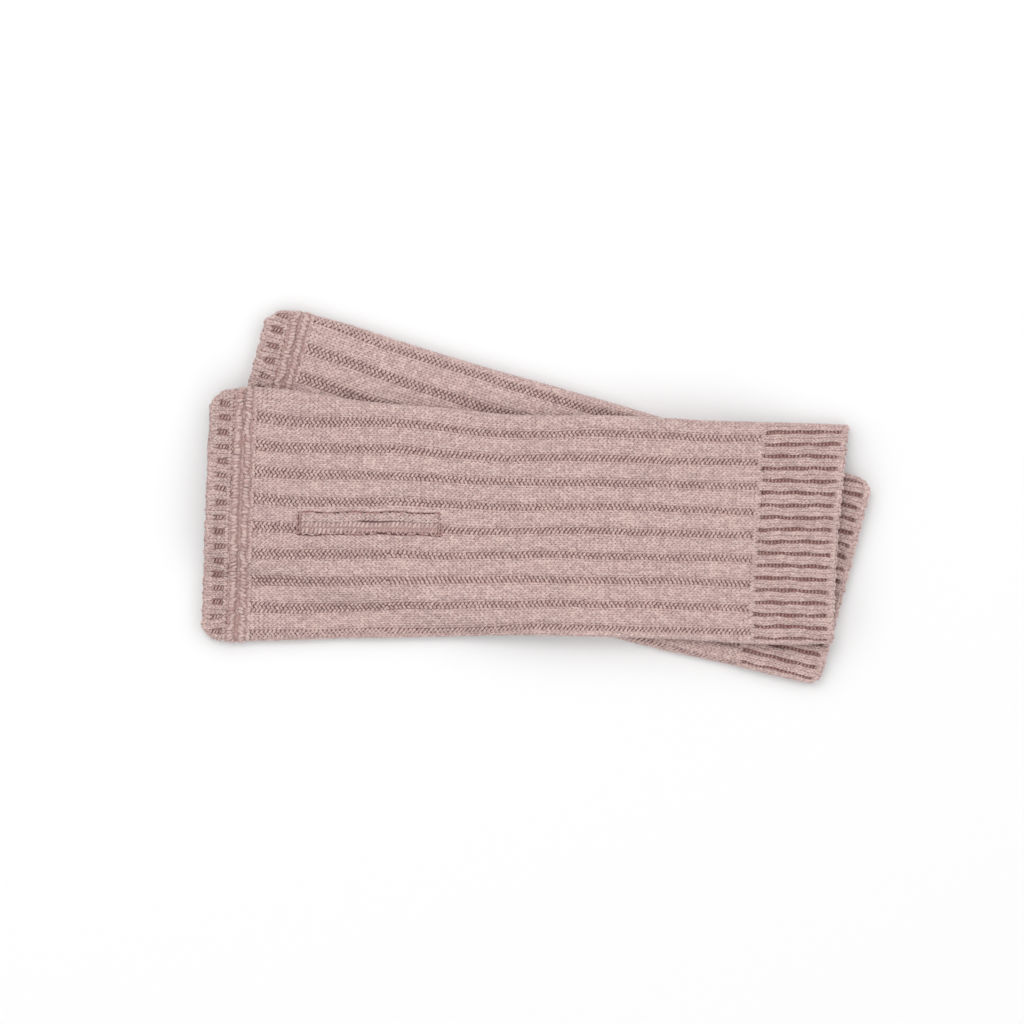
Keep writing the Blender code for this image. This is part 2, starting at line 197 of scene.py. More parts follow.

# A welt's ground: how far it is sunk, where its rows end and how far apart they are, its columns between
# its edges, how far each column drops, how much of that is left at a closed lip, and how much painted shade
# darkens it all over, at an open lip and at its outer edge
WELT_BELOW = 0.4
WELT_INSET = 0.2
WELT_STEP = 2.6
WELT_SHARES = (0.0, 0.08, 0.3, 0.7, 0.92, 1.0)
WELT_DROPS = (0.8, 0.25, 0.0, 0.0, 0.25, 0.8)
CLOSED_DROP = 0.3
WELT_SHADOW = 0.35
LIP_SHADOW = 0.65
OUTER_SHADOW = 0.55

# How much painted shade darkens the ground in the linking band, along a seam and at the slit, and how far
# aside, past it and fading that goes
LINKING_SHADOW = 0.3
SEAM_SHADOW = 0.7
SLIT_SHADOW = 0.9
SLIT_SHADOW_ASIDE = 0.2
SLIT_SHADOW_PAST = 2.0
SLIT_SHADOW_FADE = 3.0

# A grain of yarn: the lowest that its middle may lie, how unevenly it is placed, turned, tipped (both in
# radians) and sized, and how far ahead it looks for the way that the surface runs
LOWEST_YARN = 1.25
UNEVEN_ALONG = 0.14
UNEVEN_AROUND = 0.09
UNEVEN_SLANT = 0.16
UNEVEN_TILT = 0.07
UNEVEN_SIZE = 0.09
LOOK_AHEAD = 0.2

# A stitch's legs: their length for a course, their width for a wale, how far they lie from its middle, how
# deep, and how far the hand's stitches lap over the seam at its start
LEG_LENGTH = 1.55
LEG_WIDTH = 0.6
NARROW_LEG_WIDTH = 0.48
LEG_ASIDE = 0.42
LEG_BELOW = 0.3
SEAM_LAP = 0.6

# The dashes between wales, dark grains that stand in for the shade in the gaps there: how many stitches
# have one, and their length for a course, width, thickness, depth and painted shade
DASH_SHARE = 0.2
NARROW_DASH_SHARE = 0.3
DASH_LENGTH = 1.25
DASH_WIDTH = 0.4
DASH_THICK = 0.5
DASH_BELOW = 0.1
DASH_PAINTED_SHADE = 0.45

# Bars of the wide grooves: half the width from which a groove has three rows of them; how far out the outer
# rows lie, a bar's length and its width, as shares of half the groove and of a course; and which way the
# far and the near row lean in each wide groove
THREE_ROWS_HALF = 1.55
THREE_ROWS = (0.64, 1.05, 0.66)
TWO_ROWS = (0.46, 1.45, 0.68)
BAR_THICK = 0.8
BAR_LEAN = 35
BAR_ABOVE = 0.2
BAR_LEANS = ((1, -1), (1, 1), (1, -1), (-1, 1), (1, 1), (1, -1), (-1, -1), (1, -1), (1, 1))

# Bars of the narrow grooves: their size, how much painted shade darkens them, and their slants in turn
NarrowBars = namedtuple("NarrowBars", "size hollow slants")
TRIM_BARS = NarrowBars((2.3, 0.8, 0.7), 0.1, (66,))
CUFF_BARS = NarrowBars((1.5, 0.75, 0.7), 0.4, (62, 118))
TRIM_BAR_COURSE = 1.2
NARROW_BAR_ABOVE = 0.1
# How unevenly the painted shade of a narrow groove's bar is set
UNEVEN_PAINTED_SHADE = 0.2

# The chain along an open edge: how far short of the stitches' reach it ends, its course, its slant in
# radians, a link's length for a course, and its width and how far it lies aside for the chain's width
EDGE_MARGIN = 2.0
EDGE_COURSE = 1.7
EDGE_SLANT = 0.3
LINK_LENGTH = 1.35
LINK_WIDTH = 0.58
LINK_ASIDE = 0.24

# A chain's distance from the edge, that of the section whose reach it has, its width and its thickness
Edge = namedtuple("Edge", "inset reach_at width thick")
FINGER_EDGE = Edge(0.6, 0.75, 1.3, 0.9)
WRIST_EDGE = Edge(0.75, 1.0, 1.7, 1.1)

# How far from the open edges the rows of stitches in the trim and the cuff begin
TRIM_MARGIN = 0.8
CUFF_MARGIN = 1.0

# Linking ridges: how much their shades differ, which is 1 elsewhere, how far short of the stitches' reach
# they end, how deep and how unevenly their bumps lie, and the two strands of each bump
LINKING_SHADES = 0.5
RIDGE_MARGIN = 1.6
RIDGE_BELOW = 0.2
BUMP_AROUND = 0.3
BUMP_ALONG = 0.5
BUMP_SLANTS = (-10, 50)
STRAND_LENGTHS = (2.5, 3.4)
STRAND_WIDTHS = (1.3, 1.7)
STRAND_THICK = 1.4
STRAND_TURN = 20
STRAND_AHEAD = 0.4
STRAND_ASIDE = 0.62
# The strands' painted shade, which stands in for the dark gaps between the bumps
STRAND_PAINTED_SHADES = (-1.0, 0.45)

# Seams: their places in the linking band, their course, how much of it is filled there and beside a welt,
# how far inside a welt's ends they lie, and their grains' size, slants, painted shade and depth
Seam = namedtuple("Seam", "size slants hollows below")
SEAMS = (9.95, 13.8, 17.6)
SEAM_COURSE = 1.1
SEAM_FILLED = 0.8
WELT_SEAM_FILLED = 0.6
WELT_END_SEAMS = (0.1, 1.1)
RIDGE_SEAM = Seam((2.1, 0.95, 1.0), (20, 70), (-0.5, 0.5), 0.4)
WELT_SIDE_SEAM = Seam((1.8, 0.7, 0.7), (-35, 35), (0.1, 0.7), 0.6)
WELT_END_SEAM = Seam((1.6, 0.65, 0.7), (45, 135), (0.25, 0.9), 0.35)

# Bars of the welt that bulges, on its back and sunken beside its open lip: their length for a column's
# width, their width, thickness, depth and painted shade
WeltBar = namedtuple("WeltBar", "length width thick below hollow")
RAISED_BAR = WeltBar(1.25, 1.2, 0.8, 0.3, 0.05)
SUNKEN_BAR = WeltBar(1.15, 0.85, 0.7, 0.4, 0.3)
WELT_BAR_SLANT = 68

# How much the same yarn is darker or lighter in each part
TONES = {"trim_knit": 1.02, "linking_knit": 1.03, "hand_knit": 1.06, "welt_knit": 1.0, "cuff_knit": 1.08}

# How much painted shade, in the gaps' colour, the yarn takes on at the bottom of a groove
DEPTH_PAINTED_SHADE = 0.2

# How far inside the upper mitten's outline the lower one is hidden
HIDDEN_MARGIN = 7.0

# What the camera's frame shows: its width at the mittens' height, and the point under its middle
FRAME_WIDTH = 399.4
FRAME_MIDDLE = (-9.67, -5.54)
FRAME_LEVEL = 6.0

# The light all round: its least strength, how high over the horizon it grows stronger, and by how much,
# most where it starts and nothing straight above
SKY_LEAST = 0.4
SKY_START = 0.36
SKY_STEEPNESS = 6.0
SKY_MORE = 3.4

# The floor's half width and the key light's width and place, in metres
FLOOR_HALF = 2.5
KEY_SIZE = 1.2
KEY_PLACE = (-0.35, 0.85, 1.95)

# How fine fibres, flecks, patches and fuzz are, in cycles a metre, and a stitch of the ground's own knit,
# in metres
FIBRE_SCALE = 1500.0
FLECK_SCALE = 1900.0
PATCH_SCALE = 80.0
FUZZ_SCALE = 3200.0
GROUND_WALE = 0.0017
GROUND_COURSE = 0.00167

# How far the fibres darken or lighten the yarn, how dark its patches are, and how strong the purplish
# flecks and the patches are
FLECK_CONTRAST = 0.42
PATCH_TONE = 0.7
MAUVE_SHARE = 0.6
PATCH_SHARE = 0.3

# One row for each section: its place, its reach to the far and near folds, the first wide groove, the rib
# pitch, and, where they aren't 0, how fast that pitch shrinks towards the near fold, and how the section
# leans and bows over
Section = namedtuple("Section", "along far near groove pitch bunch lean bow", defaults=(0.0, 0.0, 0.0))

# The slit's far side, closing line and near side, counted from the middle of its groove
Slit = namedtuple("Slit", "far meet near")

# Where a mitten lies and turns, its length, its slit, the grooves' share of the pitch at either end, and
# how round its corners are at the wrist
Mitten = namedtuple("Mitten", "name x y turn length sections slit finger_share wrist_share wrist_corner")

# A groove across a section: its number, its middle, half its width, its depth, how much of it is open
# there, how broadly the ribs beside it are rounded, and how much painted shade darkens it
Groove = namedtuple("Groove", "number middle half depth open shoulder shade")

UPPER_SECTIONS = (
    Section(0.0, 45.6, 45.8, 40.8, 11.1, 0.0, 0.014),
    Section(4.0, 48.2, 48.4, 40.7, 11.1, 0.0, 0.012),
    Section(9.5, 49.4, 49.3, 40.2, 11.0, 0.0, 0.010),
    Section(19.5, 50.2, 48.8, 38.5, 10.6, 0.0, 0.009),
    Section(36.0, 48.9, 47.9, 37.4, 10.4, 0.0, 0.010),
    Section(56.0, 46.3, 46.6, 37.6, 10.3, 0.0, 0.012),
    Section(75.0, 45.0, 45.8, 37.6, 10.15, 0.0, 0.014),
    Section(95.0, 44.0, 44.8, 36.2, 9.85, 0.0, 0.016),
    Section(114.0, 42.5, 43.8, 34.9, 9.5, 0.0, 0.018),
    Section(134.0, 42.5, 43.2, 35.3, 9.4, 0.0, 0.020),
    Section(153.0, 43.2, 43.0, 36.0, 9.5, 0.0, 0.022),
    Section(173.0, 43.0, 42.8, 36.0, 9.45, 0.0, 0.025),
    Section(192.0, 42.5, 43.1, 35.8, 9.4, 0.0, 0.027),
    Section(215.0, 42.5, 43.9, 36.1, 9.45, 0.0, 0.030, 0.5),
    Section(232.0, 42.6, 43.8, 36.6, 9.5, 0.0, 0.038, 1.0),
    Section(248.2, 42.4, 42.8, 37.0, 9.6, 0.0, 0.046, 1.4),
)
LOWER_SECTIONS = (
    Section(0.0, 43.9, 41.5, 49.5, 12.7, -0.17),
    Section(4.5, 47.2, 44.0, 49.2, 12.7, -0.17),
    Section(14.5, 49.0, 45.0, 48.7, 12.6, -0.17),
    Section(32.0, 49.0, 45.3, 47.3, 12.4, -0.16),
    Section(53.0, 47.8, 45.0, 44.9, 12.1, -0.15),
    Section(86.0, 46.5, 44.2, 43.0, 11.7, -0.13),
    Section(119.0, 46.0, 43.4, 41.5, 11.2, -0.10),
    Section(149.0, 45.4, 42.7, 40.4, 10.7, -0.07),
    Section(180.0, 44.1, 42.6, 39.2, 10.3, -0.03),
    Section(212.0, 43.0, 41.4, 38.2, 10.0),
    Section(236.0, 42.5, 40.8, 37.8, 9.9),
    Section(246.0, 41.4, 40.2, 37.6, 9.9),
)
LOWER = Mitten("lower", -117.15, 28.57, 14.8, 246.0, LOWER_SECTIONS, Slit(2.6, -2.6, -6.2), 0.36, 0.29, 5.0)
UPPER = Mitten("upper", -129.25, -6.53, 1.71, 248.2, UPPER_SECTIONS, Slit(6.2, 2.6, -2.6), 0.42, 0.26, 1.5)
MITTENS = (LOWER, UPPER)
SECTION_CACHE = {}


def length_setting(name, description, default):
    return FloatProperty(name=name, description=description, default=default, unit="LENGTH", precision=5)


def colour_setting(name, description, default):
    return FloatVectorProperty(name=name, description=description, default=default, subtype="COLOR")


class KnitSettings(bpy.types.PropertyGroup):
    """Sizes and colours of the yarn and its stitches."""

    course: length_setting("Course", "Length of a stitch in the hand", 0.00167)
    cuff_course: length_setting("Cuff course", "Length of a stitch in the cuff", 0.00144)
    trim_course: length_setting("Trim course", "Length of a stitch in the trim", 0.0016)
    link_course: length_setting("Linking course", "Length of a linking stitch", 0.0026)
    yarn: length_setting("Yarn", "Thickness of the yarn", 0.00078)
    slant: FloatProperty(
        name="Leg slant", description="Turn of a stitch's legs", default=math.radians(21), subtype="ANGLE"
    )
    heather: FloatProperty(
        name="Heather", description="Strength of the yarn's flecks",
        default=0.5, min=0.0, max=1.0, subtype="FACTOR",
    )
    yarn_colour: colour_setting("Yarn colour", "Colour of the yarn", HAND_COLOUR)
    # The colour of the painted shade deep between stitches, reddish as the shade there is where light comes
    # back from the yarn
    shadow_colour: colour_setting("Gap colour", "Colour deep between stitches", (0.35, 0.155, 0.14))
    green_fleck: colour_setting("Green fleck", "Greenish fibres", (0.58, 0.50, 0.44))
    mauve_fleck: colour_setting("Mauve fleck", "Purplish fibres", (0.56, 0.38, 0.42))


class StageSettings(bpy.types.PropertyGroup):
    """The floor, the lights and the camera."""

    floor_colour: colour_setting("Floor", "Colour of the floor", (0.8, 0.8, 0.8))
    key_power: FloatProperty(name="Key light", description="Power of the lamp", default=11.0, unit="POWER")
    fill: FloatProperty(name="Fill", description="Strength of the light all round", default=0.99, min=0.0)
    camera_height: length_setting("Camera height", "Height of the camera over the floor", 2.2)


def millimetres(length):
    return length / METRES


def eased(share):
    """A smooth step from 0 to 1."""
    share = min(1.0, max(0.0, share))
    return share * share * (3.0 - 2.0 * share)


def interpolated(rows, at):
    """The value of a table of (place, value) rows at a place, on straight lines between them."""
    for (start, low), (end, high) in zip(rows, rows[1:]):
        if at <= end:
            return low + (high - low) * max(0.0, at - start) / (end - start)
    return rows[-1][1]


def section_at(mitten, along):
    """The section at a place between the table's rows, on a smooth curve through them."""
    key = (mitten.name, along)
    if key in SECTION_CACHE:
        return SECTION_CACHE[key]
    sections = mitten.sections
    at = min(sections[-1].along, max(sections[0].along, along))
    i = next(k for k in range(1, len(sections)) if at <= sections[k].along)
    low, high = sections[i - 1], sections[i]
    before, after = sections[max(i - 2, 0)], sections[min(i + 1, len(sections) - 1)]
    span = high.along - low.along
    u = (at - low.along) / span
    start_share, end_share = u * (1 - u) ** 2, (u - 1) * u**2
    low_share, high_share = (1 + 2 * u) * (1 - u) ** 2, (3 - 2 * u) * u**2
    start_span, end_span = span / (high.along - before.along), span / (after.along - low.along)
    values = [
        low[k] * low_share
        + high[k] * high_share
        + (high[k] - before[k]) * start_span * start_share
        + (after[k] - low[k]) * end_span * end_share
        for k in range(1, len(low))
    ]
    SECTION_CACHE[key] = Section(at, *values)
    return SECTION_CACHE[key]


def axes_of(mitten):
    """The directions along and across a mitten, on the table."""
    turn = math.radians(mitten.turn)
    return (math.cos(turn), -math.sin(turn)), (math.sin(turn), math.cos(turn))


AXES = {mitten.name: axes_of(mitten) for mitten in MITTENS}


def on_table(mitten, along, across):
    """A mitten's point on the table."""
    down, side = AXES[mitten.name]
    section = section_at(mitten, along)
    reach = section.far if across > 0.0 else section.near
    along += section.lean * across - section.bow * (1.0 - (across / reach) ** 2)
    return mitten.x + down[0] * along + side[0] * across, mitten.y + down[1] * along + side[1] * across


def on_mitten(mitten, x, y):
    """How far along and across a mitten a point of the table lies."""
    down, side = AXES[mitten.name]
    x, y = x - mitten.x, y - mitten.y
    return x * down[0] + y * down[1], x * side[0] + y * side[1]


def cover(inside):
    """How much of the lower mitten's height is felt at this distance inside its edge."""
    return eased((inside + OVERHANG + FALL) / FALL)


def rest_height(mitten, x, y):
    """The height of what a mitten lies on: the table, or the lower mitten and the fall beside it."""
    if mitten is LOWER:
        return 0.0
    along, across = on_mitten(LOWER, x, y)
    at = section_at(LOWER, along)
    share = cover(at.far - across) * cover(at.near + across)
    return share * cover(along) * cover(LOWER.length - along) * LIFT_OVER_LOWER


def crown(mitten, along):
    from_wrist = mitten.length - along
    if from_wrist < CROWN_FROM_WRIST[-1][0]:
        return interpolated(CROWN_FROM_WRIST, from_wrist)
    return interpolated(CROWN_FROM_FINGERS, along)


def groove_at(section, number):
    """Where a wide groove lies across a section; the first is number 1."""
    step = number - 1
    return section.groove - section.pitch * step - section.bunch * step * step


def stagger(number):
    """An uneven shift for the end of a groove."""
    return STAGGER * math.sin(number * STAGGER_TURN)


def waves(rows, at, number):
    """The sum of waves at a place, which differ from number to number."""
    return sum(size * math.sin(at / length + number * shift) for size, length, shift in rows)


def strayed(along, around, start, end):
    """Where a stitch of the hand comes to lie, as its course strays away from the hand's start and end."""
    stray = sum(size * math.sin(around / wide + along / long) for size, wide, long in COURSE_WAVES)
    return along + stray * eased((along - start) / STRAY_START) * eased((end - along) / STRAY_START)


def hand_grooves(mitten, along):
    """The hand's wide grooves across a section, which open and close gently at their ends."""
    section = section_at(mitten, along)
    share = mitten.finger_share + (mitten.wrist_share - mitten.finger_share) * eased(along / WIDTH_CHANGE)
    end = mitten.length - CUFF_LENGTH - HAND_CLOSES
    found = []
    for number in range(1, GROOVES + 1):
        shift = WIDE_STAGGER * stagger(number)
        opened = eased((along - LINKING_END - shift) / OPENING) * eased(end + shift - along)
        middle = groove_at(section, number) + waves(WIDE_WAVES, along, number)
        half = section.pitch * share / 2
        found.append(Groove(number, middle, half, WIDE_DEPTH, opened, WIDE_SHOULDER, WIDE_SHADE))
    return found


def narrow_grooves(mitten, along, half, depth, start, end):
    """The narrow grooves across a section, open between start and end."""
    section = section_at(mitten, along)
    found = []
    for number in range(1, GROOVES + 1):
        for share in NARROW_SHARES:
            place = number + share
            shift = stagger(place)
            opened = eased((along - start - NARROW_START_STAGGER * shift) / OPENING)
            opened *= eased((end + NARROW_END_STAGGER * shift - along) / OPENING)
            middle = groove_at(section, number) + share * section.pitch
            middle += waves(WIDE_WAVES, along * NARROW_HURRY, place) + waves(NARROW_WAVES, along, place)
            swell = CLOSED_SWELL + OPEN_SWELL * opened + waves(SWELL_WAVES, along, place)
            shade = NARROW_SHADE + waves(SHADE_WAVES, along, place)
            found.append(Groove(place, middle, half * swell, depth * swell, opened, NARROW_SHOULDER, shade))
    return found


def grooves_at(mitten, along):
    """All grooves across a section, of which the linking band has none."""
    if along < TRIM_END:
        return narrow_grooves(mitten, along, TRIM_HALF, TRIM_DEPTH, TRIM_OPENS, TRIM_CLOSES)
    if along < LINKING_END:
        return []
    if along < mitten.length - CUFF_LENGTH:
        return hand_grooves(mitten, along)
    opens = mitten.length - CUFF_LENGTH + CUFF_OPENS
    return narrow_grooves(mitten, along, CUFF_HALF, CUFF_DEPTH, opens, mitten.length - CUFF_CLOSES)


def share_of(groove, around):
    """How far into a groove a place lies, from 0 on the rib beside it to 1 at its bottom."""
    away = abs(around - groove.middle) - FLAT_BOTTOM * groove.half
    return groove.open * (1.0 - eased(away / ((1.0 - FLAT_BOTTOM) * groove.half + groove.shoulder)))


def dip(grooves, around):
    """How deep a groove is at a place round the tube."""
    return max((groove.depth * share_of(groove, around) for groove in grooves), default=0.0)


def groove_shade(grooves, around):
    """How much painted shade darkens the cloth in a groove at a place round the tube."""
    return max((groove.shade * share_of(groove, around) ** 2 for groove in grooves), default=0.0)


def corner_pull(mitten, along, across):
    """How far an open edge draws in near a fold, so that its corners are round."""
    near_fingers = eased(1.0 - along / CORNER_LENGTH)
    near_wrist = eased(1.0 - (mitten.length - along) / CORNER_LENGTH)
    section = section_at(mitten, along)
    corner = mitten.wrist_corner if near_wrist else CORNER
    past = abs(across) - ((section.far if across > 0.0 else section.near) - corner)
    if past <= 0.0:
        return 0.0
    pulled = corner - math.sqrt(corner**2 - min(past, corner) ** 2)
    return pulled * (near_fingers - near_wrist)


def edge_pull(mitten, along, around):
    """How far an open edge draws in, most where a narrow groove meets it."""
    from_wrist = mitten.length - along
    near_fingers = eased(1.0 - along / SCALLOP_LENGTH)
    near_wrist = eased(1.0 - from_wrist / SCALLOP_LENGTH)
    if near_fingers == near_wrist:
        return 0.0
    section = section_at(mitten, along)
    room = section.groove - around
    if section.bunch:
        root = math.sqrt(max(0.0, section.pitch**2 + 4.0 * section.bunch * room))
        steps = (root - section.pitch) / (2.0 * section.bunch)
    else:
        steps = room / section.pitch
    grooved = 0.5 + 0.5 * math.cos(4.0 * math.pi * (steps - NARROW_SHARES[0]))
    return grooved * (FINGER_SCALLOP * near_fingers - WRIST_SCALLOP * near_wrist)


def surface(mitten, along, around, below=0.0, grooves=()):
    """A point on the outside of the pressed tube, or some way below it."""
    section = section_at(mitten, along)
    far_side = around >= 0.0
    flat = (section.far if far_side else section.near) - FOLD_ROUND
    arc = abs(around) - flat
    half = crown(mitten, along) / 2
    out_across, out_up = 0.0, 1.0
    across, height = abs(around), 2 * half
    if arc >= FOLD_ARC:
        across, height, out_up, below = flat - (arc - FOLD_ARC), 0.0, -1.0, 0.0
    elif arc > 0.0:
        angle = math.pi * arc / FOLD_ARC
        across, height = flat + FOLD_ROUND * math.sin(angle), half + half * math.cos(angle)
        out_across, out_up = math.sin(angle) / FOLD_ROUND, math.cos(angle) / half
        size = math.hypot(out_across, out_up)
        out_across, out_up = out_across / size, out_up / size
        below *= eased(2.0 * (1.0 - arc / FOLD_ARC))
    sunk = below
    if arc < STITCHED_ARC:
        sunk += dip(grooves, around) * eased(2.0 * (1.0 - arc / STITCHED_ARC))
    across -= out_across * sunk
    height -= out_up * sunk
    across = across if far_side else -across
    pull = edge_pull(mitten, along, around) + corner_pull(mitten, along, across)
    x, y = on_table(mitten, along + pull, across)
    return Vector((x, y, height + rest_height(mitten, x, y)))


def seen(mitten, along, places):
    """Those places across a section that the upper mitten doesn't hide."""
    return [around for around in places if not hidden(mitten, along, around)]


def hidden(mitten, along, around):
    """Whether the upper mitten hides this place of the lower one."""
    if mitten is UPPER:
        return False
    x, y = on_table(mitten, along, around)
    along, across = on_mitten(UPPER, x, y)
    if not HIDDEN_MARGIN < along < UPPER.length - HIDDEN_MARGIN:
        return False
    section = section_at(UPPER, along)
    return HIDDEN_MARGIN - section.near < across < section.far - HIDDEN_MARGIN


def slit_places(mitten, along):
    """Where the thumb slit's far side, its closing line and its near side lie across a section."""
    middle = groove_at(section_at(mitten, along), SLIT_GROOVE)
    return [middle + offset + waves(SLIT_WAVES, along, offset) for offset in mitten.slit]


def beside_slit(along):
    return SLIT_START < along < SLIT_END


def gape_share(along):
    """How far the slit stands open, from 0 where the welts touch to 1 at its widest."""
    share = (along - GAPE_START) / (GAPE_END - GAPE_START)
    return math.sin(math.pi * share**GAPE_SKEW) if 0.0 < share < 1.0 else 0.0


def stitched_reach(section):
    """How far round the folds the stitches go, on the far and the near side."""
    turn = STITCHED_ARC - FOLD_ROUND
    return section.far + turn, section.near + turn


def round_tube(mitten, along, margin, course):
    """Places spread over a section's stitched reach, short of its ends by a margin, and their distance."""
    far, near = stitched_reach(section_at(mitten, along))
    return middles(far - margin, margin - near, course)


def make_leaf():
    """A grain of yarn along X, one unit long, wide and thick, as a template's points and faces."""
    mesh = bmesh.new()
    bmesh.ops.create_uvsphere(mesh, u_segments=6, v_segments=3, radius=0.5)
    quarter = math.radians(90)
    bmesh.ops.rotate(mesh, verts=mesh.verts, matrix=Matrix.Rotation(quarter, 3, "Y"))
    bmesh.ops.recalc_face_normals(mesh, faces=mesh.faces)
    points = np.array([vert.co for vert in mesh.verts])
    points[:, 1:] *= 0.5 / np.abs(points[:, 1:]).max(axis=0)
    faces = [[vert.index for vert in face.verts] for face in mesh.faces]
    mesh.free()
    return points, faces


class Yarn:
    """Grains of yarn laid on a mitten's surface, to be joined as one piece."""

    def __init__(self, mitten, seed, shade_spread=1.0):
        self.mitten = mitten
        self.shade_spread = shade_spread
        self.random = random.Random(seed)
        self.places, self.turns, self.shades, self.hollows = [], [], [], []

    def astray(self, most):
        """A random value from -most to most."""
        return self.random.uniform(-most, most)

    def lay(self, along, around, size, slant, below=0.0, hollow=0.0, grooves=()):
        """One grain: its middle, its (length, width, thickness), and its turn (in radians) from along."""
        along += self.astray(UNEVEN_ALONG)
        around += self.astray(UNEVEN_AROUND)
        slant += self.astray(UNEVEN_SLANT)
        tilt = self.astray(UNEVEN_TILT)
        length, width, thick = (part * (1.0 + self.astray(UNEVEN_SIZE)) for part in size)
        middle = surface(self.mitten, along, around, below, grooves)
        middle.z = max(middle.z, LOWEST_YARN)
        ahead = (surface(self.mitten, along + LOOK_AHEAD, around, below, grooves) - middle).normalized()
        aside = surface(self.mitten, along, around + LOOK_AHEAD, below, grooves) - middle
        up = ahead.cross(aside).normalized()
        aside = up.cross(ahead)
        run = ahead * math.cos(slant) + aside * math.sin(slant)
        over = aside * math.cos(slant) - ahead * math.sin(slant)
        run, up = run * math.cos(tilt) + up * math.sin(tilt), up * math.cos(tilt) - run * math.sin(tilt)
        self.places.append(middle)
        self.turns.append((run * length, over * width, up * thick))
        self.shades.append(0.5 + (self.random.random() - 0.5) * self.shade_spread)
        # Painted shade: the grain's own, and more at the bottom of a groove
        self.hollows.append(hollow + DEPTH_PAINTED_SHADE * groove_shade(grooves, around))

    def lay_seam(self, along, around, seam, slant, hollow):
        """A grain of a seam."""
        self.lay(along, around, seam.size, slant, below=seam.below, hollow=hollow)

    def join(self, part, slot):
        """All grains as one piece, named after the mitten and the part."""
        name = f"{self.mitten.name}_{part}"
        points, faces = make_leaf()
        turns = np.array([[list(axis) for axis in turn] for turn in self.turns])
        places = np.array([list(place) for place in self.places])
        everywhere = (np.einsum("pk,gkc->gpc", points, turns) + places[:, None, :]) * METRES
        count = len(places)
        corners = np.array([corner for face in faces for corner in face])
        starts = np.cumsum([0] + [len(face) for face in faces[:-1]])
        shift = np.arange(count)[:, None]
        mesh = bpy.data.meshes.new(name)
        mesh.vertices.add(count * len(points))
        mesh.loops.add(count * len(corners))
        mesh.polygons.add(count * len(faces))
        mesh.vertices.foreach_set("co", everywhere.astype(np.float32).ravel())
        mesh.loops.foreach_set("vertex_index", (corners + shift * len(points)).astype(np.int32).ravel())
        mesh.polygons.foreach_set("loop_start", (starts + shift * len(corners)).astype(np.int32).ravel())
        mesh.update(calc_edges=True)
        for title, values in (("shade", self.shades), ("hollow", self.hollows)):
            layer = mesh.attributes.new(title, "FLOAT", "POINT")
            layer.data.foreach_set("value", np.repeat(np.array(values, np.float32), len(points)))
        mesh.shade_smooth()
        return add_piece(name, mesh, yarn_finish(slot))


def add_piece(name, mesh, material):
    """A piece of the object from a finished mesh."""
    mesh.materials.append(material)
    piece = bpy.data.objects.new(name, mesh)
    bpy.context.scene.collection.objects.link(piece)
    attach(piece, BODY)
    return piece


def spread(start, end, step):
    """Evenly spread places from start to end, no more than about a step apart."""
    count = max(1, round(abs(end - start) / step))
    return [start + (end - start) * k / count for k in range(count + 1)]


def middles(start, end, step):
    """The middles of evenly spread steps between start and end."""
    edges = spread(start, end, step)
    return [(one + other) / 2 for one, other in zip(edges, edges[1:])], edges[1] - edges[0]


def ground_columns(mitten, along):
    """Places all round the tube, from the back's middle over the far fold and the front to the back again."""
    section = section_at(mitten, along)
    columns = []
    for groove in grooves_at(mitten, along):
        brim = groove.half + groove.shoulder
        offsets = (brim, SLOPE_SHARE * brim, FLAT_BOTTOM * groove.half)
        columns += [groove.middle + side * offset for offset in offsets for side in (1, -1)]
    if not columns:
        columns = spread(section.far - FOLD_ROUND, FOLD_ROUND - section.near, PLAIN_STEP)
    if LINKING_END < along < mitten.length - CUFF_LENGTH:
        far, _, near = slit_places(mitten, along)
        columns += [far, near]
    for reach, side in ((section.far, 1.0), (section.near, -1.0)):
        flat = reach - FOLD_ROUND
        turned = [flat + FOLD_ARC * k / FOLD_COLUMNS for k in range(1, FOLD_COLUMNS + 1)]
        under = [flat + FOLD_ARC + flat * k / UNDER_COLUMNS for k in range(1, UNDER_COLUMNS + 1)]
        columns += [side * around for around in turned + under]
    return sorted(columns, reverse=True)


def ground_rows(start, end, first, last, step, breaks=()):
    """Where the ground's rows lie: closer at either end, evenly between, and one on each break."""
    stops = (start + first[-1], *breaks, end - last[0])
    rows = [start + offset for offset in first]
    for low, high in zip(stops, stops[1:]):
        rows += spread(low, high, step)[1:]
    return rows + [end - offset for offset in last[1:]]


def flat_cloth(columns, rows):
    """A flat grid of cloth, its layers for the cut and the painted shade, and each point's column and row."""
    mesh = bmesh.new()
    bmesh.ops.create_grid(mesh, x_segments=columns, y_segments=rows, size=0.5)
    cut = mesh.loops.layers.uv.new("cut")
    hollow = mesh.verts.layers.float.new("hollow")
    index = {}
    for vert in mesh.verts:
        index[vert] = (round((vert.co.x + 0.5) * columns), round((vert.co.y + 0.5) * rows))
    return mesh, cut, hollow, index


def mesh_data(mesh, name):
    """The data of a finished mesh, which is freed."""
    data = bpy.data.meshes.new(name)
    mesh.to_mesh(data)
    mesh.free()
    return data


